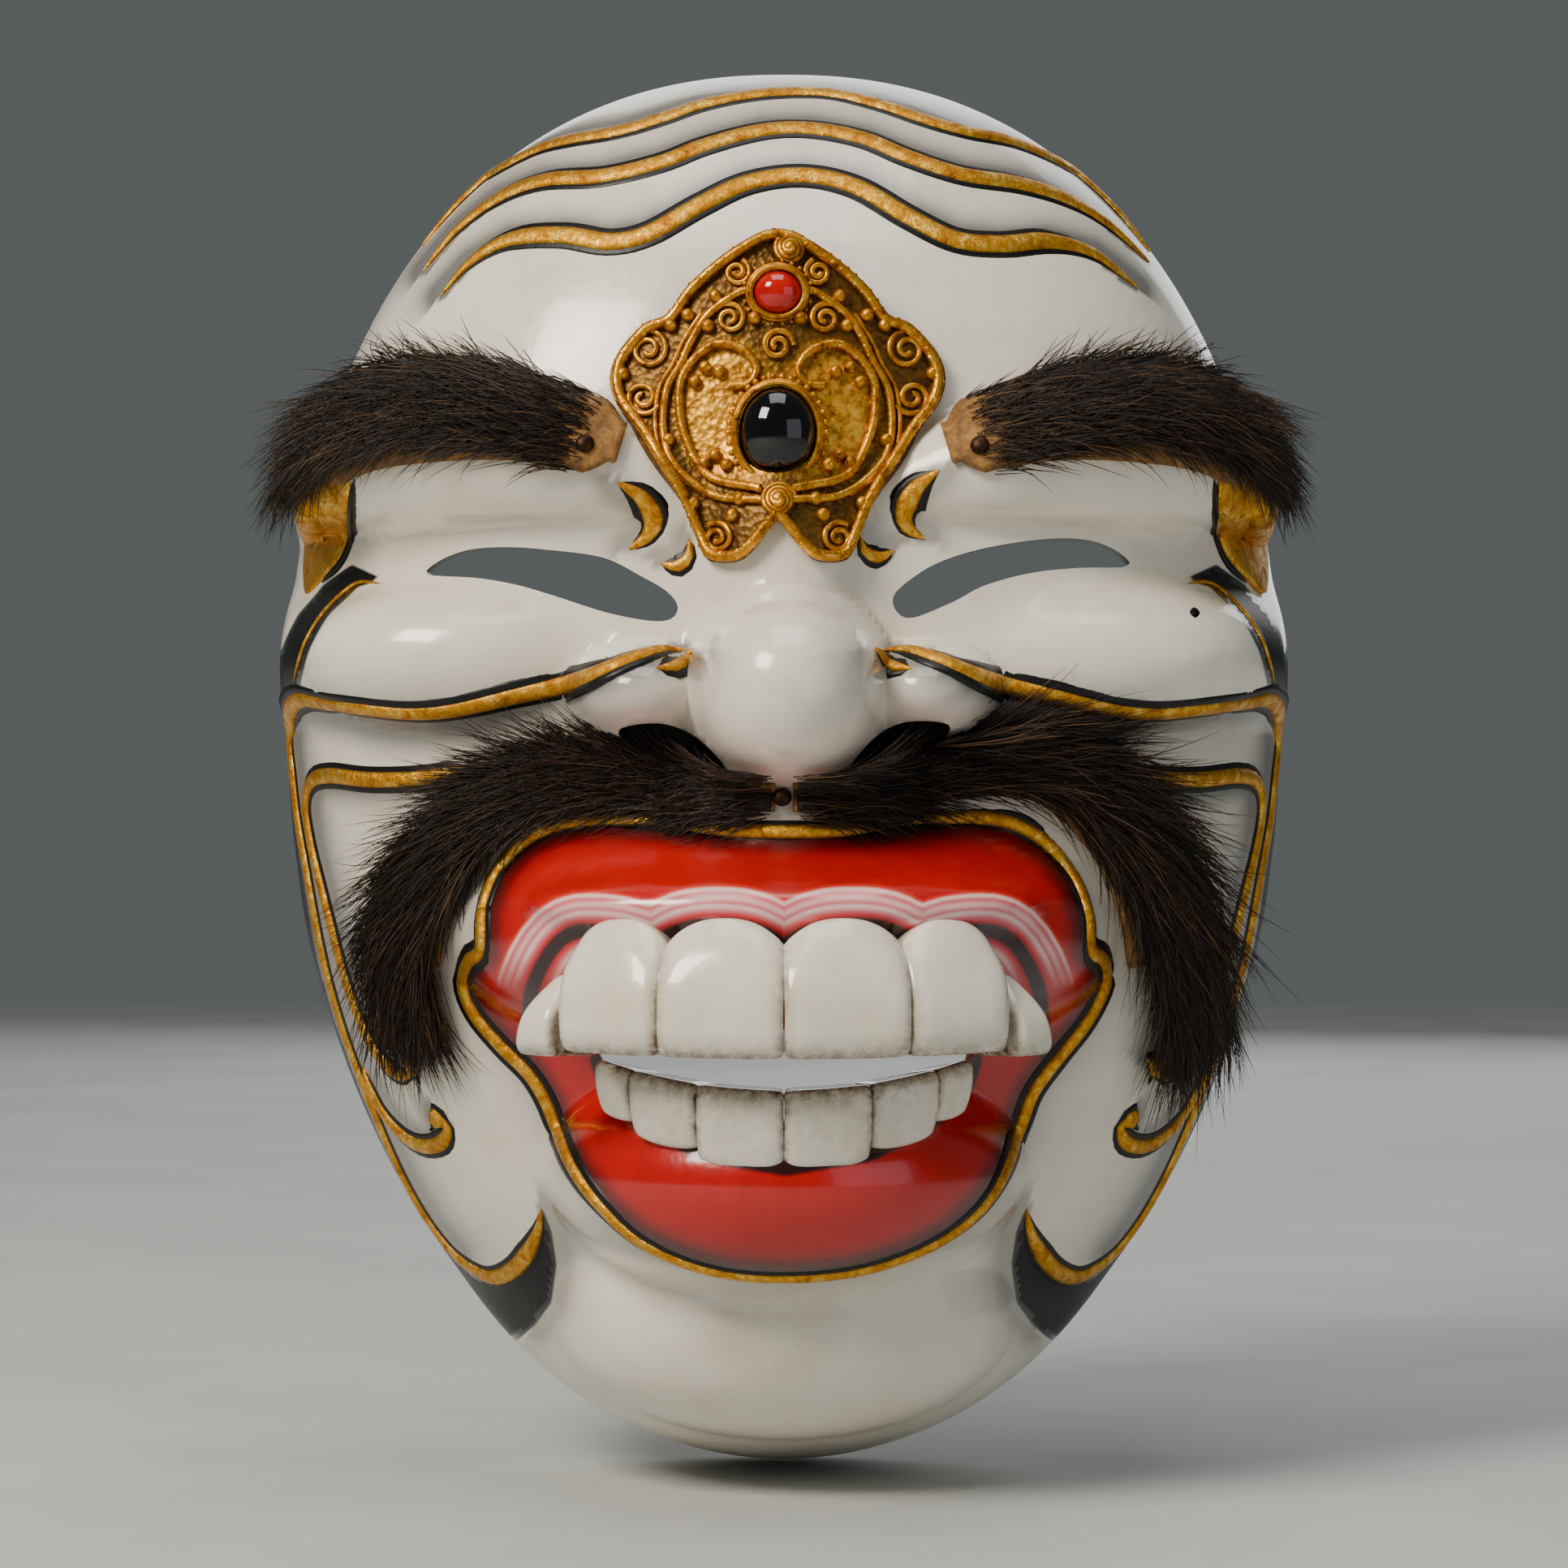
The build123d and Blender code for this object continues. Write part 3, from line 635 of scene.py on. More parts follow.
def gesso_paint():
    """Casein paint over gesso, rubbed and varnished: creamy white with a wet gloss."""
    material, tree, place = new_finish("Varnished_Casein_Paint")
    marks = {
        key: add_node(tree, ATTRIBUTE, out="Fac", attribute_name=key)
        for key in ("shade", "lip", "gum", "above", "gum_shadow", "mouth", "black")
    }
    cloud = {"Vector": place, "Scale": 1000 / 22, "Detail": 4, "Roughness": 0.55}
    specks = {"Vector": place, "Scale": 1000 / 6, "Detail": 6, "Roughness": 0.7}
    ivory = add_node(
        tree, RAMP, {"Fac": add_node(tree, NOISE, cloud, "Fac")},
        stops=[(0.3, "E8E0CC"), (0.52, "EFE8D8"), (0.75, "E1D8C2")],
    )
    darkening = add_node(
        tree, RAMP, {"Fac": add_node(tree, NOISE, specks, "Fac")},
        stops=[(0.52, 0.0), (0.78, 0.30)],
    )
    base = add_node(tree, MIX, {0: darkening, 6: ivory, 7: "C9BEA4"}, 2, data_type="RGBA")
    grey = add_node(tree, MIX, {0: marks["shade"], 6: base, 7: "595957"}, 2, data_type="RGBA")

    # red lips, darker in the corners, with brush streaks
    stretched = add_node(tree, "ShaderNodeMapping", {"Vector": place, "Scale": (1.0, 1.0, 0.3)})
    streaks = {"Vector": stretched, "Scale": 1000 / 4.0, "Detail": 4, "Roughness": 0.55}
    streak = add_node(
        tree, RAMP, {"Fac": add_node(tree, NOISE, streaks, "Fac")},
        stops=[(0.4, 0.0), (0.75, 0.5)],
    )
    red = add_node(tree, MIX, {0: streak, 6: "B80200", 7: "CE0603"}, 2, data_type="RGBA")
    dark = add_node(
        tree, RAMP, {"Fac": marks["lip"]},
        stops=[(0.05, "0D0808"), (0.062, "4A090B"), (0.11, "6E0B0C"), (0.2, "A80E0C")],
    )
    full = add_node(tree, RAMP, {"Fac": marks["lip"]}, stops=[(0.12, 0.0), (0.24, 1.0)])
    lips = add_node(tree, MIX, {0: full, 6: dark, 7: red}, 2, data_type="RGBA")

    # pink strokes that follow the gum line, above it only
    strokes = add_node(
        tree,
        RAMP,
        {"Fac": marks["gum"]},
        stops=[
            (0.0, "C9121B"), (0.14, "D21E2A"), (0.19, "E2727C"), (0.25, "F3CFC9"), (0.30, "DE6C78"),
            (0.36, "F0BDB8"), (0.43, "DD5E68"), (0.48, "F6D2C8"), (0.52, "E2392F"),
        ],
    )
    near_gum = add_node(tree, RAMP, {"Fac": marks["gum"]}, stops=[(0.50, 1.0), (0.56, 0.0)])
    pink = add_node(tree, MATH, {0: near_gum, 1: marks["above"]}, operation="MULTIPLY")
    lips = add_node(tree, MIX, {0: pink, 6: lips, 7: strokes}, 2, data_type="RGBA")
    # painted shadow: a thin dark maroon line along both gum lines, where the teeth meet the gums
    gum_shadow = add_node(tree, RAMP, {"Fac": marks["gum_shadow"]}, stops=[(0.08, 1.0), (0.13, 0.0)])
    lips = add_node(tree, MIX, {0: gum_shadow, 6: lips, 7: "2A0405"}, 2, data_type="RGBA")

    # the mouth, then the black sides, cut in over the ivory
    mouth, black = (
        add_node(tree, RAMP, {"Fac": marks[key]}, stops=[(0.48, 0.0), (0.52, 1.0)])
        for key in ("mouth", "black")
    )
    colour = add_node(tree, MIX, {0: mouth, 6: grey, 7: lips}, 2, data_type="RGBA")
    colour = add_node(tree, MIX, {0: black, 6: colour, 7: "0B0A0B"}, 2, data_type="RGBA")

    swells = {"Vector": place, "Scale": 1000 / 9, "Detail": 3, "Roughness": 0.55}
    brush = {"Vector": place, "Scale": 1000 / 1.6, "Detail": 2, "Roughness": 0.55}
    fine = add_node(tree, MATH, {0: add_node(tree, NOISE, brush, "Fac"), 1: 0.25}, operation="MULTIPLY")
    relief = add_node(tree, MATH, {0: add_node(tree, NOISE, swells, "Fac"), 1: fine}, operation="ADD")
    gloss = {"Roughness": 0.24, "Coat Weight": 0.55, "Coat Roughness": 0.08, "Specular IOR Level": 0.5}
    shade(tree, {**gloss, "Base Color": colour}, (relief, 0.35, 0.5))
    return material


def gold_leaf():
    """Gold leaf laid on raised gesso lines, wrinkled and rubbed through to brown at places."""
    material, tree, place = new_finish("Laid_Gold_Leaf")
    rubbed = {"Vector": place, "Scale": 1000 / 2.2, "Detail": 6, "Roughness": 0.7, "Distortion": 0.6}
    creases = {"Vector": place, "Scale": 1000 / 0.9, "Detail": 5, "Roughness": 0.7, "Distortion": 1.0}
    patches = add_node(tree, NOISE, rubbed, "Fac")
    colour = add_node(
        tree, RAMP, {"Fac": patches},
        stops=[(0.26, "6A3C06"), (0.38, "B87512"), (0.52, "DE9E22"), (0.7, "FAD062")],
    )
    dull = add_node(tree, RAMP, {"Fac": patches}, stops=[(0.3, 0.62), (0.6, 0.26)])
    wrinkles = add_node(tree, NOISE, creases, "Fac")
    shade(tree, {"Metallic": 0.85, "Roughness": dull, "Base Color": colour}, (wrinkles, 0.25, 0.8))
    return material


def black_paint():
    """Black casein line paint with a half gloss, a little worn."""
    material, tree, place = new_finish("Black_Line_Paint")
    worn = {"Vector": place, "Scale": 1000 / 4, "Detail": 4, "Roughness": 0.55}
    brush = {"Vector": place, "Scale": 1000 / 1.5, "Detail": 3, "Roughness": 0.55}
    colour = add_node(
        tree, RAMP, {"Fac": add_node(tree, NOISE, worn, "Fac")},
        stops=[(0.35, "080808"), (0.75, "141212")],
    )
    values = {"Roughness": 0.4, "Specular IOR Level": 0.35, "Base Color": colour}
    shade(tree, values, (add_node(tree, NOISE, brush, "Fac"), 0.15, 0.5))
    return material


def bare_wood():
    """Light waru wood, gouged by hand and darkened by wear: dull brown with gouge facets."""
    material, tree, place = new_finish("Gouged_Bare_Wood")
    rings = {"Vector": place, "Scale": 260.0, "Distortion": 7.0, "Detail": 3.0, "Detail Scale": 1.2}
    grain = add_node(tree, WAVE, rings, "Fac", bands_direction="X")
    tone = add_node(tree, RAMP, {"Fac": grain}, stops=[(0.0, "8C6A45"), (0.5, "A5805A"), (1.0, "7A5936")])
    wear = {"Vector": place, "Scale": 1000 / 35, "Detail": 4, "Roughness": 0.55}
    stain = add_node(tree, RAMP, {"Fac": add_node(tree, NOISE, wear, "Fac")}, stops=[(0.4, 0.0), (0.7, 0.55)])
    colour = add_node(tree, MIX, {0: stain, 6: tone, 7: "5A4028"}, 2, data_type="RGBA")
    gouges = add_node(tree, CELLS, {"Vector": place, "Scale": 130.0}, "Distance", feature="SMOOTH_F1")
    fibres = add_node(tree, MATH, {0: grain, 1: 0.12}, operation="MULTIPLY")
    relief = add_node(tree, MATH, {0: gouges, 1: fibres}, operation="ADD")
    shade(tree, {"Roughness": 0.62, "Base Color": colour}, (relief, 0.9, 0.8))
    return material


def polished_bone():
    """Polished bone or shell teeth: warm ivory, glossy, darkened brown towards the biting edges, with painted
    shade on the sides between the teeth.
    """
    material, tree, place = new_finish("Polished_Bone")
    cloud = {"Vector": place, "Scale": 1000 / 9, "Detail": 3, "Roughness": 0.55}
    spots = {"Vector": place, "Scale": 1000 / 1.6, "Detail": 6, "Roughness": 0.75}
    waves = {"Vector": place, "Scale": 1000 / 3, "Detail": 3, "Roughness": 0.55}
    ivory = add_node(
        tree, RAMP, {"Fac": add_node(tree, NOISE, cloud, "Fac")},
        stops=[(0.3, "E6DDC6"), (0.55, "EFE8D6"), (0.8, "F5F0E2")],
    )
    specks = add_node(
        tree, RAMP, {"Fac": add_node(tree, NOISE, spots, "Fac")},
        stops=[(0.38, 0.25), (0.62, 1.0)],
    )
    # darkening: brown towards the biting edges, with painted shade on the sides between neighbouring teeth
    darkening = add_node(tree, ATTRIBUTE, out="Fac", attribute_name="darkening")
    grime_and_shade = add_node(tree, MATH, {0: darkening, 1: specks}, operation="MULTIPLY")
    colour = add_node(tree, MIX, {0: grime_and_shade, 6: ivory, 7: "6B5026"}, 2, data_type="RGBA")
    gloss = {"Roughness": 0.2, "Coat Weight": 0.5, "Subsurface Weight": 0.08, "Subsurface Scale": 0.002}
    shade(tree, {**gloss, "Base Color": colour}, (add_node(tree, NOISE, waves, "Fac"), 0.12, 0.5))
    return material


def goat_hair():
    """Coarse dark goat hair: brown-black with a dry sheen, lighter at some tips."""
    material, tree, place = new_finish("Dark_Goat_Hair")
    strand = add_node(tree, ATTRIBUTE, out="Fac", attribute_name="strand")
    tone = add_node(
        tree, RAMP, {"Fac": strand},
        stops=[(0.0, "130E0A"), (0.45, "261B13"), (0.8, "3D2B1C"), (1.0, "6E4E2E")],
    )
    shade(tree, {"Roughness": 0.48, "Specular IOR Level": 0.35, "Base Color": tone})
    return material


def raw_hide():
    """Raw goat hide strip: tan, dry and fibrous."""
    material, tree, place = new_finish("Raw_Goat_Hide")
    blotches = {"Vector": place, "Scale": 1000 / 2.5, "Detail": 6, "Roughness": 0.7}
    fibres = {"Vector": place, "Scale": 1000 / 1.0, "Detail": 5, "Roughness": 0.7}
    tone = add_node(
        tree, RAMP, {"Fac": add_node(tree, NOISE, blotches, "Fac")},
        stops=[(0.3, "4E3212"), (0.5, "8C6026"), (0.72, "B98A45")],
    )
    shade(tree, {"Roughness": 0.7, "Base Color": tone}, (add_node(tree, NOISE, fibres, "Fac"), 0.3, 0.8))
    return material


def old_gilding():
    """Gilded brass filigree, its hollows filled with brown patina."""
    material, tree, place = new_finish("Old_Gilded_Brass")
    patina = {"Vector": place, "Scale": 1000 / 1.8, "Detail": 5, "Roughness": 0.65}
    pits = {"Vector": place, "Scale": 1000 / 0.8, "Detail": 4, "Roughness": 0.55}
    spots = add_node(tree, NOISE, patina, "Fac")
    tone = add_node(
        tree, RAMP, {"Fac": spots},
        stops=[(0.3, "4A2A08"), (0.43, "B07014"), (0.58, "DE9C26"), (0.75, "FACB5E")],
    )
    dull = add_node(tree, RAMP, {"Fac": spots}, stops=[(0.3, 0.65), (0.6, 0.28)])
    values = {"Metallic": 0.85, "Roughness": dull, "Base Color": tone}
    shade(tree, values, (add_node(tree, NOISE, pits, "Fac"), 0.15, 0.7))
    return material


def dark_gilding():
    """The jewel's base plate: gilding under dark brown patina, chased all over."""
    material, tree, place = new_finish("Patinated_Plate")
    patina = {"Vector": place, "Scale": 1000 / 1.4, "Detail": 6, "Roughness": 0.7}
    tone = add_node(
        tree,
        RAMP,
        {"Fac": add_node(tree, NOISE, patina, "Fac")},
        stops=[(0.32, "5A360A"), (0.42, "AC7418"), (0.54, "E2A028"), (0.7, "FFCF55")],
    )
    hollow = add_node(tree, ATTRIBUTE, out="Fac", attribute_name="hollow")
    colour = add_node(tree, MIX, {0: hollow, 6: tone, 7: "3B250E"}, 2, data_type="RGBA")
    grit = add_node(tree, CELLS, {"Vector": place, "Scale": 1000 / 0.9}, "Distance")
    shade(tree, {"Metallic": 0.75, "Roughness": 0.42, "Base Color": colour}, (grit, 0.22, 0.6))
    return material


def dark_tack():
    """Old brass tack, blackened by handling: dark brown with a dull shine."""
    material, tree, place = new_finish("Blackened_Brass_Tack")
    patina = {"Vector": place, "Scale": 1000 / 0.8, "Detail": 4, "Roughness": 0.55}
    tone = add_node(
        tree, RAMP, {"Fac": add_node(tree, NOISE, patina, "Fac")},
        stops=[(0.35, "1A110A"), (0.7, "4A3018")],
    )
    shade(tree, {"Metallic": 0.8, "Roughness": 0.45, "Base Color": tone})
    return material


def cabochon(name, colour, deep):
    """Polished glass cabochon, deep in colour with a hard highlight."""
    material, tree, place = new_finish(name)
    depths = {"Vector": place, "Scale": 1000 / 3, "Detail": 2, "Roughness": 0.55}
    tone = add_node(
        tree, RAMP, {"Fac": add_node(tree, NOISE, depths, "Fac")},
        stops=[(0.3, deep), (0.7, colour)],
    )
    shade(tree, {"Roughness": 0.06, "IOR": 1.52, "Coat Weight": 0.3, "Base Color": tone})
    return material


def plain_floor():
    """Matt pale grey paper sweep."""
    material, tree, place = new_finish("Grey_Paper_Sweep")
    cloud = {"Vector": place, "Scale": 1000 / 60, "Detail": 3, "Roughness": 0.55}
    tone = add_node(
        tree, RAMP, {"Fac": add_node(tree, NOISE, cloud, "Fac")},
        stops=[(0.3, "B9BCBA"), (0.7, "C4C6C4")],
    )
    shade(tree, {"Roughness": 0.85, "Base Color": tone})
    return material


FINISH_MAKERS = {
    "paint": gesso_paint,
    "gold": gold_leaf,
    "black": black_paint,
    "wood": bare_wood,
    "bone": polished_bone,
    "hair": goat_hair,
    "hide": raw_hide,
    "gilt": old_gilding,
    "plate": dark_gilding,
    "tack": dark_tack,
    "red": lambda: cabochon("Red_Cabochon", "CC0A08", "A00406"),
    "onyx": lambda: cabochon("Black_Cabochon", "060608", "020203"),
    "floor": plain_floor,
}
FINISHES = {}


def finish_of(name):
    """The material of that name, made the first time that it is asked for."""
    if name not in FINISHES:
        FINISHES[name] = FINISH_MAKERS[name]()
    return FINISHES[name]


# ---------------------------------------------------------------- settings
class MaskSettings(PropertyGroup):
    wood_grid: IntProperty(
        name="Face Detail", description="Grid cells across the carved face", default=264, min=60, max=290
    )
    gold_height: FloatProperty(
        name="Gold Relief", description="Height of the raised gold lines",
        default=0.0007, min=0.0002, max=0.002, unit="LENGTH",
    )
    outline_width: FloatProperty(
        name="Black Outline", description="Black paint beside the gold lines",
        default=0.0011, min=0.0, max=0.002, unit="LENGTH",
    )
    brow_hairs: IntProperty(
        name="Brow Hairs", description="Hairs in each brow", default=5600, min=100, max=7000
    )
    moustache_hairs: IntProperty(
        name="Moustache Hairs", description="Hairs in each half of the moustache",
        default=6200, min=100, max=7000,
    )
    hair_radius: FloatProperty(
        name="Hair Radius", description="Radius at the root, coarser than real so that it shows",
        default=0.0001, min=0.00005, max=0.0005, unit="LENGTH",
    )
    plate_thickness: FloatProperty(
        name="Plate Thickness", description="Thickness of the jewel's plate",
        default=0.0012, min=0.0005, max=0.002, unit="LENGTH",
    )
    stage_width: FloatProperty(
        name="Stage Width", description="Side of the floor", default=3.0, min=1.0, max=10.0, unit="LENGTH"
    )


def set_attribute(piece, name, values):
    """Gives each point of a mesh a value that a material reads."""
    layer = piece.data.attributes.new(name, "FLOAT", "POINT")
    layer.data.foreach_set("value", np.asarray(values, np.float32))


def rim_place(u, v, shrink=0.0):
    """Grid places spread over the inside of the rim outline, denser towards the rim."""
    dx = u * np.sqrt(1 - v * v / 2)
    dz = v * np.sqrt(1 - u * u / 2)
    radius = np.clip(np.hypot(dx, dz), 0, 1)
    radius = np.where(np.maximum(np.abs(u), np.abs(v)) > 0.9999, 1.0, radius)
    turn = np.arctan2(dz, dx)
    share = np.sin(radius * math.pi / 2)
    power = np.where(dz >= 0, CROWN_POWER, JAW_POWER)
    rise = np.where(dz >= 0, DOME["crown"] - shrink, DOME["chin"] - shrink)
    across = np.sign(np.cos(turn)) * np.abs(np.cos(turn)) ** (2 / power)
    up = np.sign(np.sin(turn)) * np.abs(np.sin(turn)) ** (2 / power)
    return (DOME["half"] - shrink) * across * share, DOME["level"] + rise * up * share, radius


# the shell's material slots, and how far inside its outline the black paint has its own faces
PAINT, WOOD, BLACK = range(3)
BLACK_INSET = 0.7


class MASK_OT_shell(Operator):
    """Carve the hollow wooden shell and lay its paint attributes"""

    bl_idname = "mask.shell"
    bl_label = "Carved Shell"

    def execute(self, context):
        settings = context.scene.theatre_mask
        paint, wood, black = finish_of("paint"), finish_of("wood"), finish_of("black")

        def outer_place(u, v):
            x, z, radius = rim_place(u, v)
            return np.stack([x, -np.where(radius > AT_RIM, 0.0, face_depth(x, z)), z], -1)

        def inner_place(u, v):
            x, z, radius = rim_place(-u, v, RIM_WALL)
            depth = np.minimum(hollow_depth(x, z), face_depth(x, z) - LEAST_WALL)
            return np.stack([x, -np.where(radius > AT_RIM, 0.0, depth), z], -1)

        cells = settings.wood_grid
        outer = shaped_grid("shell_face", paint, cells, cells, outer_place)
        inner = shaped_grid("shell_back", wood, cells // 3, cells // 3, inner_place)
        shell = join([outer, inner], "carved_face")
        bpy.ops.object.mode_set(mode="EDIT")
        bpy.ops.mesh.select_all(action="DESELECT")
        bpy.ops.mesh.select_non_manifold(
            extend=False, use_wire=False, use_multi_face=False, use_non_contiguous=False, use_verts=False
        )
        bpy.ops.mesh.bridge_edge_loops()
        bpy.ops.object.mode_set(mode="OBJECT")
        shell.data.materials.append(black)
        for face in shell.data.polygons:
            if face.center.y > -0.4 * MM and len(face.vertices) <= 4 and abs(face.normal.y) > 0.8:
                face.material_index = WOOD
        tidy(shell)
        cutters = []
        for outline, near, far in CUTS:
            edge = flowing(outline, 0.9, closed=True)
            clear_selection()
            bpy.ops.mesh.primitive_circle_add(vertices=len(edge), radius=1, fill_type="NGON")
            # the cut walls are painted black as on the mask; in the blind nostril pockets this black is
            # painted shade for the dark inside the nostrils
            cutter = named("cutter", black)
            for vertex, (x, z) in zip(cutter.data.vertices, edge):
                vertex.co = (x * MM, -far * MM, z * MM)
            move = {"value": (0, (far - near) * MM, 0)}
            edit_all(lambda: bpy.ops.mesh.extrude_region_move(TRANSFORM_OT_translate=move))
            tidy(cutter, smooth=False)
            cutters.append(cutter)
        for hand in (-1, 1):
            place = Vector((hand * STRAP_HOLE["side"], -STRAP_HOLE["depth"], STRAP_HOLE["level"]))
            bpy.ops.mesh.primitive_cylinder_add(
                vertices=24,
                radius=STRAP_HOLE["radius"] * MM,
                depth=STRAP_HOLE["reach"] * MM,
                location=place * MM,
                rotation=(0, math.pi / 2, 0),
            )
            cutters.append(named("cutter", wood))
        cutter = join(cutters, "cutter")
        apply_modifier(shell, "BOOLEAN", operation="DIFFERENCE", object=cutter, solver="EXACT")
        bpy.data.objects.remove(cutter)
        tidy(shell, angle=38)
        self.lay_paint(shell)
        for face in shell.data.polygons:
            middle = face.center / MM
            across = -abs(middle.x)
            if face.material_index == PAINT and inside(BLACK_SIDE, across, middle.z):
                edge = along(BLACK_SIDE + BLACK_SIDE[:1], np.array([across]), np.array([middle.z]))[0][0]
                if edge > BLACK_INSET:
                    face.material_index = BLACK
        declare(shell, "mask_shell")
        return {"FINISHED"}

    def lay_paint(self, shell):
        """Lays shade beside the lines and marks the mouth, the gums and the black sides."""
        co = places_of(shell) / MM
        x, z = co[:, 0], co[:, 2]
        shade = np.zeros(len(x))

        def halo(path, side, width, strength):
            near, _, hand = along(path, x, z)
            soft = np.exp(-((np.maximum(near - 1.9, 0) / width) ** 1.2)) * strength
            return np.where((hand * side > 0) | (near < 0.8), soft, 0)

        for path in FOREHEAD_LINES:
            shade = np.maximum(shade, halo(path, 1, 2.2, 0.9))
        for hand, mirror in ((1, lambda p: p), (-1, mirrored)):
            for path, width, strength in (
                (CHEEK_LINE[:24], 2.6, 0.85), (JAW_LINE, 2.8, 0.85), (JAW_TWIG, 2.0, 0.8),
                (HORN_FRONT, 2.2, 0.6),
            ):
                shade = np.maximum(shade, halo(mirror(path), hand, width, strength))
        for path in BROW_CURLS:
            shade = np.maximum(shade, halo(path, -1 if path[0][0] < 0 else 1, 1.6, 0.6))
        mouth = MOUTH_UPPER + MOUTH_LOWER[::-1]
        within = inside(mouth, x, z)
        from_edge, _, _ = along(mouth + mouth[:1], x, z)
        shade = np.maximum(shade, np.where(within, 0, np.exp(-((from_edge / 3.4) ** 1.3)) * 0.55))
        upper, _, _ = along(gum_line(), x, z)
        lower, _, _ = along(LOWER_GUM, x, z)
        side, _, _ = along(BLACK_SIDE + BLACK_SIDE[:1], -np.abs(x), z)
        side = np.where(inside(BLACK_SIDE, -np.abs(x), z), side, -side)
        marks = {
            "shade": shade,
            "mouth": np.where(within, from_edge, -from_edge) / 8 + 0.5,
            "lip": from_edge / 20,
            "gum": upper / 10,
            # painted shadow along both gum lines, where the teeth meet the gums
            "gum_shadow": np.minimum(upper, lower) / 10,
            "above": (z + 31) / 5,
            "black": side / 8 + 0.5,
        }
        for name, values in marks.items():
            set_attribute(shell, name, np.clip(values, 0, 1))


class MASK_OT_lines(Operator):
    """Lay the raised gold lines with their black outlines"""

    bl_idname = "mask.lines"
    bl_label = "Gold Lines"

    def execute(self, context):
        settings = context.scene.theatre_mask
        gold, black = finish_of("gold"), finish_of("black")
        height = settings.gold_height / MM
        border = settings.outline_width / MM
        gilded, outlined = [], []

        def gild(path, half_width, tips=0.16):
            gilded.append(strip("gold", gold, path, half_width, height, tips=tips))
            wide = half_width + border
            outlined.append(strip("black", black, path, wide, 0.16, edge=-0.2, bulge=6, tips=tips))

        for path in FOREHEAD_LINES:
            gild(path, 1.7, 0.14)
        for path in BROW_CURLS:
            gild(path, 1.7 if path[0][1] > 36 else 1.1, 0.5)
        for mirror in (lambda p: p, mirrored):
            gild(mirror(CHEEK_LINE), 1.45, 0.05)
            gild(mirror(CHEEK_HOOK), 1.1, 0.4)
            gild(mirror(JAW_LINE), 1.3, 0.05)
            gild(mirror(JAW_TWIG), 1.35, 0.2)
            gilded.append(strip("gold", gold, mirror(EAR_CURL), 0.5, 0.3, tips=0.3))
            gild(mirror(JAW_KNOB), 1.7, 0.0)
            gild(mirror(TWIG_KNOB), 1.6, 0.0)
            gilded.append(patch("gold", gold, mirror(EAR_PANEL), 0.4))
            outlined.append(strip("black", black, mirror(EAR_EDGE), 0.8, 0.5, tips=0.2))
        mouth = MOUTH_UPPER + MOUTH_LOWER[::-1]
        gild(mouth + mouth[:2], 1.15, 0.0)
        outlined.append(strip("black", black, NOSE_TICK, 0.55, 0.15, tips=0.5))
        declare(tidy(join(gilded, "gold_lines")), "mask_shell")
        declare(tidy(join(outlined, "black_outlines")), "mask_shell")
        return {"FINISHED"}


class MASK_OT_teeth(Operator):
    """Model the two rows of inlaid teeth"""

    bl_idname = "mask.teeth"
    bl_label = "Teeth"

    def execute(self, context):
        bone = finish_of("bone")
        for node, (widths, heights, thick, radius, front, level, grow) in TOOTH_ROWS.items():
            teeth = []
            for side in (-1, 1):
                reached = 0.0
                for k, (wide, high) in enumerate(zip(widths, heights)):
                    turn = side * (reached + wide / 2) / radius
                    reached += wide
                    outer = k == 2
                    edge = level - (EYETOOTH_DROP if outer and grow > 0 else 0.0)
                    size = (wide - TOOTH_GAP, high, thick)
                    teeth.append(self.tooth(bone, *size, radius, front, edge, turn, grow, outer))
            row = join(teeth, node + "_row")
            apply_modifier(row, "SUBSURF", levels=1, render_levels=1)
            tidy(row)
            declare(row, node)
        return {"FINISHED"}

    def tooth(self, material, wide, high, thick, radius, front, level, turn, grow, outer):
        """One tooth, rounded at its crown, leaned at its root and turned to its place in the row."""
        clear_selection()
        bpy.ops.mesh.primitive_cube_add(size=2)
        piece = named("tooth", material)
        edit_all(lambda: bpy.ops.mesh.subdivide(number_cuts=9))
        a, b, c = places_of(piece).T
        up = (c + 1) / 2
        upper = grow > 0
        narrow = 1 - (0.05 if upper else 0.02) * np.clip((up - 0.6) / 0.4, 0, 1) ** 3
        if outer and upper:
            narrow = narrow - 0.30 * up
        back = 1 - (thick / radius) * (b + 1) / 2
        splay = 1.6 * math.copysign(1, turn) * (1 - up) if outer and upper else 0
        x = a * wide / 2 * narrow * back + splay
        crown = 1 - (0.19 if upper else 0.08) * np.abs(a) ** 2.5 * np.clip((up - 0.4) * 2, 0, 1)
        height = up * high * crown + 0.2 * np.abs(a) ** 8 * np.clip((0.1 - up) / 0.1, 0, 1)
        bevel = 1.2 * np.clip((0.12 - up) / 0.12, 0, 1)
        lean = (5.0 if upper else 1.5) * np.clip((up - 0.3) / 0.7, 0, 1) ** 2
        y = (b + 1) / 2 * (thick - lean) + (b < 0) * (0.8 * np.abs(a) ** 8 + bevel) * -b + lean
        centre_x, centre_y = radius * math.sin(turn), radius * (1 - math.cos(turn)) - front
        world_x = centre_x + x * math.cos(turn) - y * math.sin(turn)
        world_y = centre_y + x * math.sin(turn) + y * math.cos(turn)
        world_z = level + (0.4 if upper else 3.6) * (world_x / 25) ** 2 + grow * height
        move_points(piece, np.stack([world_x, world_y, world_z], -1))
        # darker towards the biting edge, painted shade on the side faces between neighbouring teeth, and the
        # lower row darker all over
        at_edge = np.clip(1 - up * high / 3.4, 0, 1) ** 1.6 * 0.8
        set_attribute(piece, "darkening", at_edge + 0.6 * (np.abs(a) > 0.95) + (0.0 if upper else 0.22))
        return piece


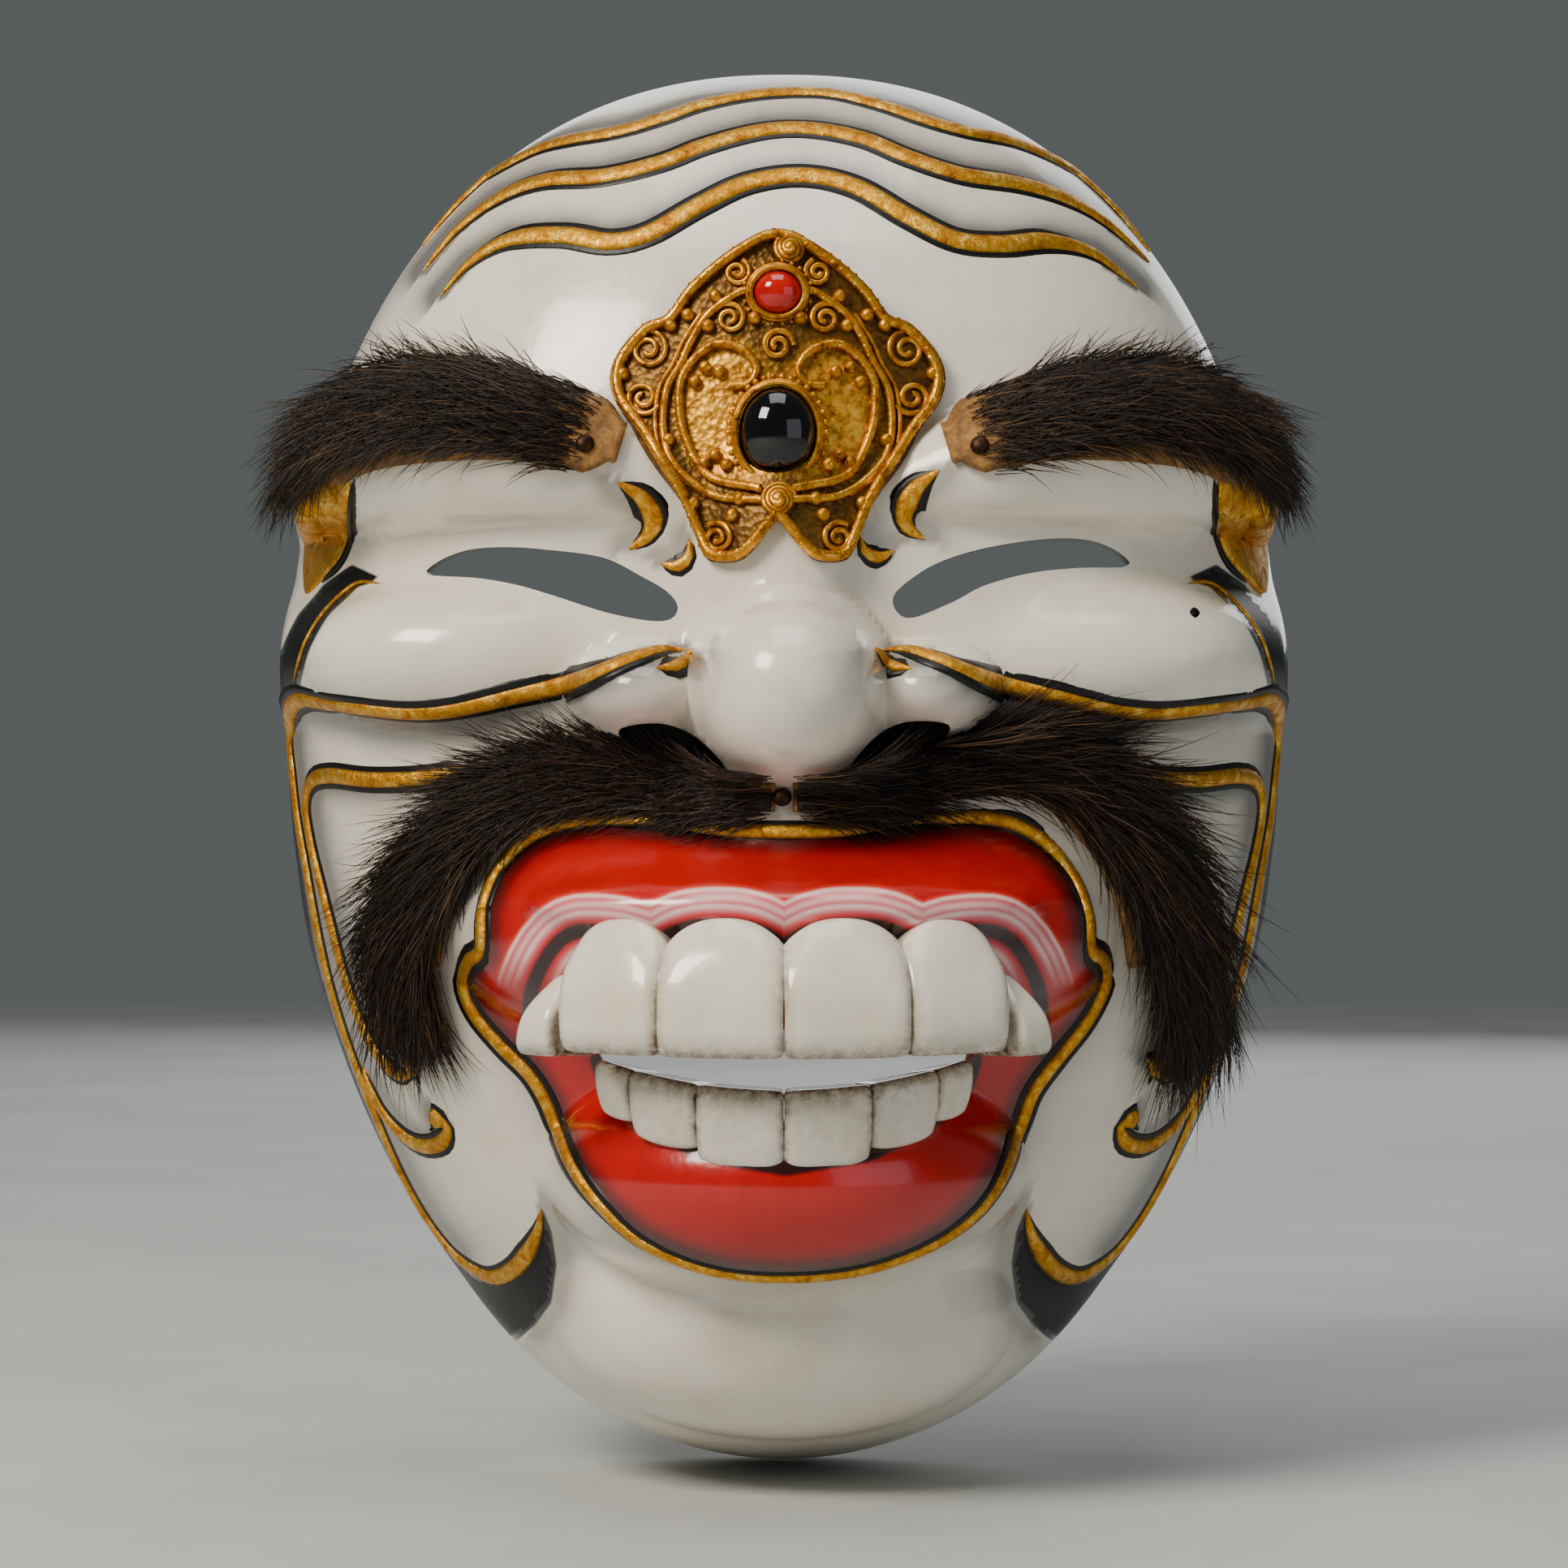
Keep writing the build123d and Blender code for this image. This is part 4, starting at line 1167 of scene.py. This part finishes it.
def band_sheet(name, material, flow, half_width, lift, thickness, hand, tips=0.0):
    """A flat strip that lies along a flow on the face."""
    run = flowing([(hand * p[0], p[1]) for p in flow], 1.0)
    count = len(run)
    heading = unit(np.gradient(run, axis=0))
    across = np.stack([-heading[:, 1], heading[:, 0]], -1) * hand
    share = np.linspace(0, 1, count)
    taper = np.clip(np.minimum(share, 1 - share) / tips, 0.25, 1) ** 0.5 if tips else 1.0
    wide = half_width * taper * np.ones(count)

    def place(u, v):
        k = np.clip(np.rint((u + 1) / 2 * (count - 1)).astype(int), 0, count - 1)
        reach = v * wide[k]
        x = run[k, 0] + across[k, 0] * reach
        z = run[k, 1] + across[k, 1] * reach
        point, _ = on_face(x, z, np.full(x.shape, lift))
        return point

    piece = shaped_grid(name, material, count - 1, 8, place)
    apply_modifier(piece, "SOLIDIFY", thickness=thickness * MM, offset=hand)
    return tidy(piece)


class MASK_OT_hide(Operator):
    """Lay the hide strips that carry the hair"""

    bl_idname = "mask.hide"
    bl_label = "Hide Strips"

    def execute(self, context):
        hide = finish_of("hide")
        for hand, side in ((-1, "left"), (1, "right")):
            brow = band_sheet(side + "_brow_strip", hide, BROW_HIDE_FLOW, 5.0, 0.1, 1.2, hand, tips=0.08)
            declare(brow, side + "_brow_hide")
            lip = band_sheet(side + "_moustache_strip", hide, MOUSTACHE_HIDE_FLOW, 2.0, 0.1, 1.1, hand)
            declare(lip, side + "_moustache_hide")
        return {"FINISHED"}


def hair_mesh(name, material, roots, directions, bends, lengths, tones, radius):
    """Loose hairs: each a three-sided taper in five steps that ends in a point."""
    count = len(roots)
    steps = np.linspace(0, 1, 6)
    centre = roots[:, None] + lengths[:, None, None] * (
        steps[None, :, None] * directions[:, None] + (steps[None, :, None] ** 2) * bends[:, None]
    )
    heading = unit(np.gradient(centre, axis=1))
    first = unit(np.cross(heading, np.array([0.3, 1.0, 0.2])))
    second = np.cross(heading, first)
    taper = radius * np.array([1.0, 1.0, 0.9, 0.75, 0.5])
    rings = []
    for k in range(3):
        angle = 2 * math.pi * k / 3
        spoke = math.cos(angle) * first[:, :5] + math.sin(angle) * second[:, :5]
        rings.append(centre[:, :5] + taper[None, :, None] * spoke)
    body = np.stack(rings, 2).reshape(count, 15, 3)
    vertices = np.concatenate([body, centre[:, 5:6]], 1)
    faces = [(2, 1, 0)]
    for s in range(4):
        for k in range(3):
            a, b = s * 3 + k, s * 3 + (k + 1) % 3
            faces += [(a, b, b + 3), (a, b + 3, a + 3)]
    faces += [(12 + k, 12 + (k + 1) % 3, 15) for k in range(3)]
    faces = np.array(faces)
    triangles = (faces[None] + (np.arange(count) * 16)[:, None, None]).reshape(-1, 3)
    mesh = bpy.data.meshes.new(name)
    mesh.vertices.add(count * 16)
    mesh.vertices.foreach_set("co", (vertices.reshape(-1, 3) * MM).ravel())
    mesh.loops.add(triangles.size)
    mesh.loops.foreach_set("vertex_index", triangles.ravel().astype(np.int32))
    mesh.polygons.add(len(triangles))
    mesh.polygons.foreach_set("loop_start", np.arange(0, triangles.size, 3, dtype=np.int32))
    mesh.update(calc_edges=True)
    mesh.validate()
    mesh.materials.append(material)
    piece = bpy.data.objects.new(name, mesh)
    bpy.context.collection.objects.link(piece)
    set_attribute(piece, "strand", np.repeat(tones, 16))
    pick(piece)
    bpy.ops.object.shade_smooth()
    return piece


def comb(rng, flow, count, hand, spread_up, spread_down, fan_up, fan_down, length, lift, thin_start=False):
    """Roots over a strip, with each hair's direction, bend, length and tone."""
    run = flowing(flow, 1.0)
    share = rng.random(count) ** (0.72 if thin_start else 0.9)
    spot = share * (len(run) - 1)
    low = np.minimum(spot.astype(int), len(run) - 2)
    part = (spot - low)[:, None]
    base = run[low] * (1 - part) + run[low + 1] * part
    heading = unit(np.gradient(run, axis=0))[low]
    across = np.stack([-heading[:, 1], heading[:, 0]], -1)
    offset = rng.uniform(-1, 1, count)
    root = base + across * (offset * np.where(offset > 0, spread_up, spread_down))[:, None]
    root[:, 0] *= hand
    heading = heading * (hand, 1)
    across = across * (hand, 1)
    point, normal = on_face(root[:, 0], root[:, 1], np.full(count, 1.5))
    spread = np.interp(share, [0, 0.25, 1], [0.35, 1, 1])
    fan = np.where(offset > 0, offset * fan_up, offset * fan_down) * spread + rng.normal(0, 0.21, count)
    flat = heading + across * fan[:, None]
    world = np.stack([flat[:, 0], np.zeros(count), flat[:, 1]], -1)
    world = unit(world - normal * np.sum(world * normal, -1, keepdims=True))
    rise = (lift * (0.35 + 0.9 * rng.random(count)))[:, None]
    direction = unit(world + normal * rise)
    droop = np.stack([np.zeros(count), np.zeros(count), -0.10 * np.ones(count)], -1)
    bend = -normal * rise * 0.75 + droop + rng.normal(0, 0.14, (count, 3))
    size = np.interp(share, [0, 0.25, 0.7, 1], length) * rng.uniform(0.62, 1.12, count)
    return point, direction, bend, size, np.clip(rng.random(count) ** 1.5, 0, 1)


class MASK_OT_hair(Operator):
    """Plant the hair of the brows and the moustache"""

    bl_idname = "mask.hair"
    bl_label = "Hair"

    def execute(self, context):
        settings = context.scene.theatre_mask
        hair = finish_of("hair")
        radius = settings.hair_radius / MM
        for hand, side in ((-1, "left"), (1, "right")):
            rng = np.random.default_rng(11 if hand < 0 else 23)
            size = [6, 12, 13, 11]
            facts = comb(rng, BROW_FLOW, settings.brow_hairs, hand, 5.4, 5.6, 0.62, 0.22, size, 0.40, True)
            brow = hair_mesh(side + "_brow_fur", hair, *facts, radius)
            bed = band_sheet(side + "_brow_bed", hair, BROW_BED_FLOW, 5.6, 1.3, 0.35, hand, tips=0.3)
            set_attribute(bed, "strand", np.zeros(len(bed.data.vertices)))
            declare(join([brow, bed], side + "_brow_fur"), side + "_brow_hair")
            flow = MOUSTACHE_FLOWS[hand]
            rng = np.random.default_rng(37 if hand < 0 else 53)
            size = [7, 12, 15, 13] if hand < 0 else [8, 15, 19, 16]
            facts = comb(rng, flow, settings.moustache_hairs, hand, 4.2, 4.0, 0.50, 0.14, size, 0.30)
            fur = hair_mesh(side + "_moustache_fur", hair, *facts, radius)
            bed = band_sheet(side + "_moustache_bed", hair, flow, 4.4, 1.2, 0.35, hand, tips=0.25)
            set_attribute(bed, "strand", np.zeros(len(bed.data.vertices)))
            declare(join([fur, bed], side + "_moustache_fur"), side + "_moustache_hair")
        return {"FINISHED"}


def on_plate(x, z, lift):
    """Points on the jewel's gently bowed front, raised by a lift."""
    x, z = np.asarray(x, float), np.asarray(z, float)
    bow = 60.6 - 0.012 * (x - JEWEL_X) ** 2 - 0.004 * (z - 40) ** 2
    ground = np.maximum(face_depth(x, z) + 1.2, bow)
    soft = smooth_max(face_depth(x, z) + 1.0, bow, 2.0)
    return np.stack([x, -(np.maximum(soft, ground) + lift), z], -1)


class MASK_OT_jewel(Operator):
    """Model the gilt jewel: plate, wires, granules, studs and its two stones"""

    bl_idname = "mask.jewel"
    bl_label = "Brow Jewel"

    def execute(self, context):
        settings = context.scene.theatre_mask
        gilt, dark = finish_of("gilt"), finish_of("plate")
        thickness = settings.plate_thickness / MM
        shift = lambda points: [(p[0] + JEWEL_X, p[1]) for p in points]
        whole = PLATE_HALF + [(-x, z) for x, z in PLATE_HALF[-2:0:-1]]
        base = patch("plate", dark, shift(whole[::-1]), 0.0, thickness, rings=10, surface=on_plate)
        self.mark_hollows(base)
        declare(tidy(base, angle=40), "ornament_plate")

        def lay(points, radius, closed=False, twist=True):
            """A wire laid along the plate, with a finer one coiled round it if twisted."""
            run = flowing(shift(points), 0.5, closed)
            path = on_plate(run[:, 0], run[:, 1], radius * 0.9)
            pieces = [wire("wire", gilt, path, radius * (0.8 if twist else 1.0), closed)]
            if twist:
                heading = unit(np.gradient(path, axis=0))
                side = unit(np.cross(heading, (0, -1, 0)))
                up = np.cross(side, heading)
                reach = np.cumsum(np.linalg.norm(np.gradient(path, axis=0), axis=1))
                turn = (reach / 1.5 * 2 * math.pi)[:, None]
                coil = path + radius * 0.45 * (np.cos(turn) * side + np.sin(turn) * up)
                pieces.append(wire("coil", gilt, coil, radius * 0.55, closed, 2))
            return pieces

        def curl(x, z, radius, start, hand, thick):
            """A small spiral of plain wire."""
            size = radius * (1 - CURL_TURNS / 13)
            points = [
                (hand * (x + r * math.cos(t + start)), z + r * math.sin(t + start))
                for r, t in zip(size, CURL_TURNS)
            ]
            return lay(points, thick, twist=False)

        loop = [(0.955 * x, 51 + 0.965 * (z - 51)) for x, z in whole]
        border = join(lay(loop, 0.95, True), "jewel_border")
        declare(tidy(border), "ornament_border")
        scrolls = []
        for hand in (1, -1):
            for scroll, radius in ((INNER_SCROLL, 0.8), (OUTER_SCROLL, 0.72)):
                scrolls += lay([(hand * x, z) for x, z in scroll], radius)
            beside = [(hand * (x + 1.1), z) for x, z in OUTER_SCROLL[1:8]]
            scrolls += lay(beside, 0.38, twist=False)
            for place in CURLS:
                scrolls += curl(*place, hand, 0.42)
        scrolls += curl(*MIDDLE_CURL, 1, 0.46)
        declare(tidy(join(scrolls, "jewel_scrolls")), "ornament_scrolls")

        beads = []
        for hand in (1, -1):
            for x, z in GRANULES:
                place = on_plate(hand * x + JEWEL_X, z, 0.6)
                clear_selection()
                bpy.ops.mesh.primitive_uv_sphere_add(
                    segments=14, ring_count=9, radius=BEAD_RADIUS * MM, location=place * MM
                )
                beads.append(settle(named("bead", gilt)))
        declare(tidy(join(beads, "jewel_beads")), "ornament_granules")

        studs = []
        for x, z, radius in STUDS:
            turns = np.linspace(0, 2 * math.pi * 3.2, 64)
            share = turns / turns[-1]
            reach = radius * (1 - 0.82 * share)
            coil = on_plate(JEWEL_X + x + reach * np.cos(turns), z + reach * np.sin(turns), 0.6 + 2.0 * share)
            studs.append(wire("stud", gilt, coil, 0.46, False, 2))
            clear_selection()
            middle = on_plate(JEWEL_X + x, z, 0.4)
            bpy.ops.mesh.primitive_cone_add(
                vertices=24,
                radius1=radius * 0.95 * MM,
                radius2=0.5 * MM,
                depth=2.4 * MM,
                location=(middle + (0, -1.0, 0)) * MM,
                rotation=(math.pi / 2, 0, 0),
            )
            studs.append(settle(named("stud_core", gilt)))
        declare(tidy(join(studs, "jewel_studs")), "ornament_studs")

        for name, (z, (wide, high, deep), finish, rim, bead_count) in STONES.items():
            middle = on_plate(JEWEL_X, z, 0.3)
            clear_selection()
            bpy.ops.mesh.primitive_uv_sphere_add(segments=48, ring_count=32, radius=1, location=middle * MM)
            stone = named(name + "_cabochon", finish_of(finish))
            stone.scale = (wide * MM, deep * MM, high * MM)
            settle(stone)
            declare(tidy(stone), name + "_stone")
            collar = []
            for grow, tall, thick in ((0.55, 0.5, 0.55), (0.35, 1.2, 0.4)):
                turn = np.linspace(0, 2 * math.pi, 72, endpoint=False)
                across = middle[0] + (wide + grow) * np.cos(turn)
                up = middle[2] + (high + grow) * np.sin(turn)
                ring = np.stack([across, np.full(72, middle[1] - tall), up], -1)
                collar.append(wire("collar", gilt, ring, thick, True))
            for k in range(bead_count):
                t = 2 * math.pi * k / bead_count
                across = middle[0] + (wide + 1.3) * math.cos(t)
                up = middle[2] + (high + 1.3) * math.sin(t)
                place = Vector((across, middle[1] - 0.25, up)) * MM
                clear_selection()
                bpy.ops.mesh.primitive_ico_sphere_add(subdivisions=2, radius=rim * 0.62 * MM, location=place)
                collar.append(settle(named("bead", gilt)))
            declare(tidy(join(collar, name + "_collar")), name + "_stone_collar")
        return {"FINISHED"}

    def mark_hollows(self, base):
        """Darkens the plate away from the smooth sheet round the black stone."""
        co = places_of(base) / MM
        x, z = np.abs(co[:, 0] - JEWEL_X), co[:, 2]
        heart = [(0, 40)] + INNER_SCROLL[1:6] + [(4.6, 57.4), (0, 53.5)]
        edge, _, _ = along(heart, x, z)
        hollow = np.where(inside(heart, x, z), 0.5 - edge / 4, 0.5 + edge / 4)
        set_attribute(base, "hollow", np.clip(hollow, 0.0, 0.85))


class MASK_OT_tacks(Operator):
    """Model the small tacks that hold the hide"""

    bl_idname = "mask.tacks"
    bl_label = "Hide Tacks"

    def execute(self, context):
        brass = finish_of("tack")
        tacks = []
        for x, z in TACKS:
            point, normal = on_face(np.array([x]), np.array([z]), np.array([1.5]))
            turn = Vector((0, 0, 1)).rotation_difference(Vector(normal[0])).to_matrix().to_4x4()
            clear_selection()
            bpy.ops.mesh.primitive_uv_sphere_add(segments=24, ring_count=12, radius=1)
            head = named("tack", brass)
            size = Matrix.Diagonal((TACK_RADIUS * MM, TACK_RADIUS * MM, TACK_RISE * MM, 1))
            head.matrix_world = Matrix.Translation(Vector(point[0]) * MM) @ turn @ size
            tacks.append(settle(head))
        declare(tidy(join(tacks, "hide_tack_heads")), "hide_tacks")
        return {"FINISHED"}


class MASK_OT_stage(Operator):
    """Set the floor, the lights and the camera"""

    bl_idname = "mask.stage"
    bl_label = "Stage"

    def execute(self, context):
        settings = context.scene.theatre_mask
        low = CAD_BOX[0]
        clear_selection()
        bpy.ops.mesh.primitive_plane_add(size=settings.stage_width, location=(0, 0, low[2] - 0.001))
        floor = named("floor", finish_of("floor"))
        settle(floor)
        world = bpy.data.worlds.new("Studio")
        context.scene.world = world
        world.use_nodes = True
        background = world.node_tree.nodes["Background"]
        background.inputs[0].default_value = tint("8E9494")
        background.inputs[1].default_value = 0.38
        for name, place, size, power, colour in LIGHTS:
            clear_selection()
            bpy.ops.object.light_add(type="AREA", location=place)
            light = context.object
            light.name = name
            light.data.size = size
            light.data.energy = power
            light.data.color = tint(colour)[:3]
            towards = Vector(LIT_PLACE) - Vector(place)
            light.rotation_euler = towards.to_track_quat("-Z", "Y").to_euler()
        clear_selection()
        bpy.ops.object.camera_add(location=CAMERA_PLACE, rotation=(math.pi / 2, 0, 0))
        camera = context.object
        camera.data.sensor_width = 36
        camera.data.lens = CAMERA_LENS
        camera.data.clip_start = 0.01
        camera.data.dof.use_dof = False
        context.scene.camera = camera
        return {"FINISHED"}


OPERATORS = (
    MASK_OT_shell, MASK_OT_lines, MASK_OT_teeth, MASK_OT_hide, MASK_OT_hair, MASK_OT_jewel, MASK_OT_tacks,
    MASK_OT_stage,
)


class MASK_PT_sidebar(Panel):
    bl_idname = "MASK_PT_sidebar"
    bl_label = "Carved Theatre Mask"
    bl_space_type = "VIEW_3D"
    bl_region_type = "UI"
    bl_category = "Mask"

    def draw(self, context):
        settings = context.scene.theatre_mask
        for key in MaskSettings.__annotations__:
            self.layout.prop(settings, key)
        for operator in OPERATORS:
            self.layout.operator(operator.bl_idname)


def register():
    bpy.utils.register_class(MaskSettings)
    for operator in OPERATORS:
        bpy.utils.register_class(operator)
    bpy.utils.register_class(MASK_PT_sidebar)
    bpy.types.Scene.theatre_mask = PointerProperty(type=MaskSettings)


def unregister():
    del bpy.types.Scene.theatre_mask
    bpy.utils.unregister_class(MASK_PT_sidebar)
    for operator in reversed(OPERATORS):
        bpy.utils.unregister_class(operator)
    bpy.utils.unregister_class(MaskSettings)


def main():
    register()
    for operator in OPERATORS:
        group, name = operator.bl_idname.split(".")
        getattr(getattr(bpy.ops, group), name)()


if __name__ == "__main__":
    main()
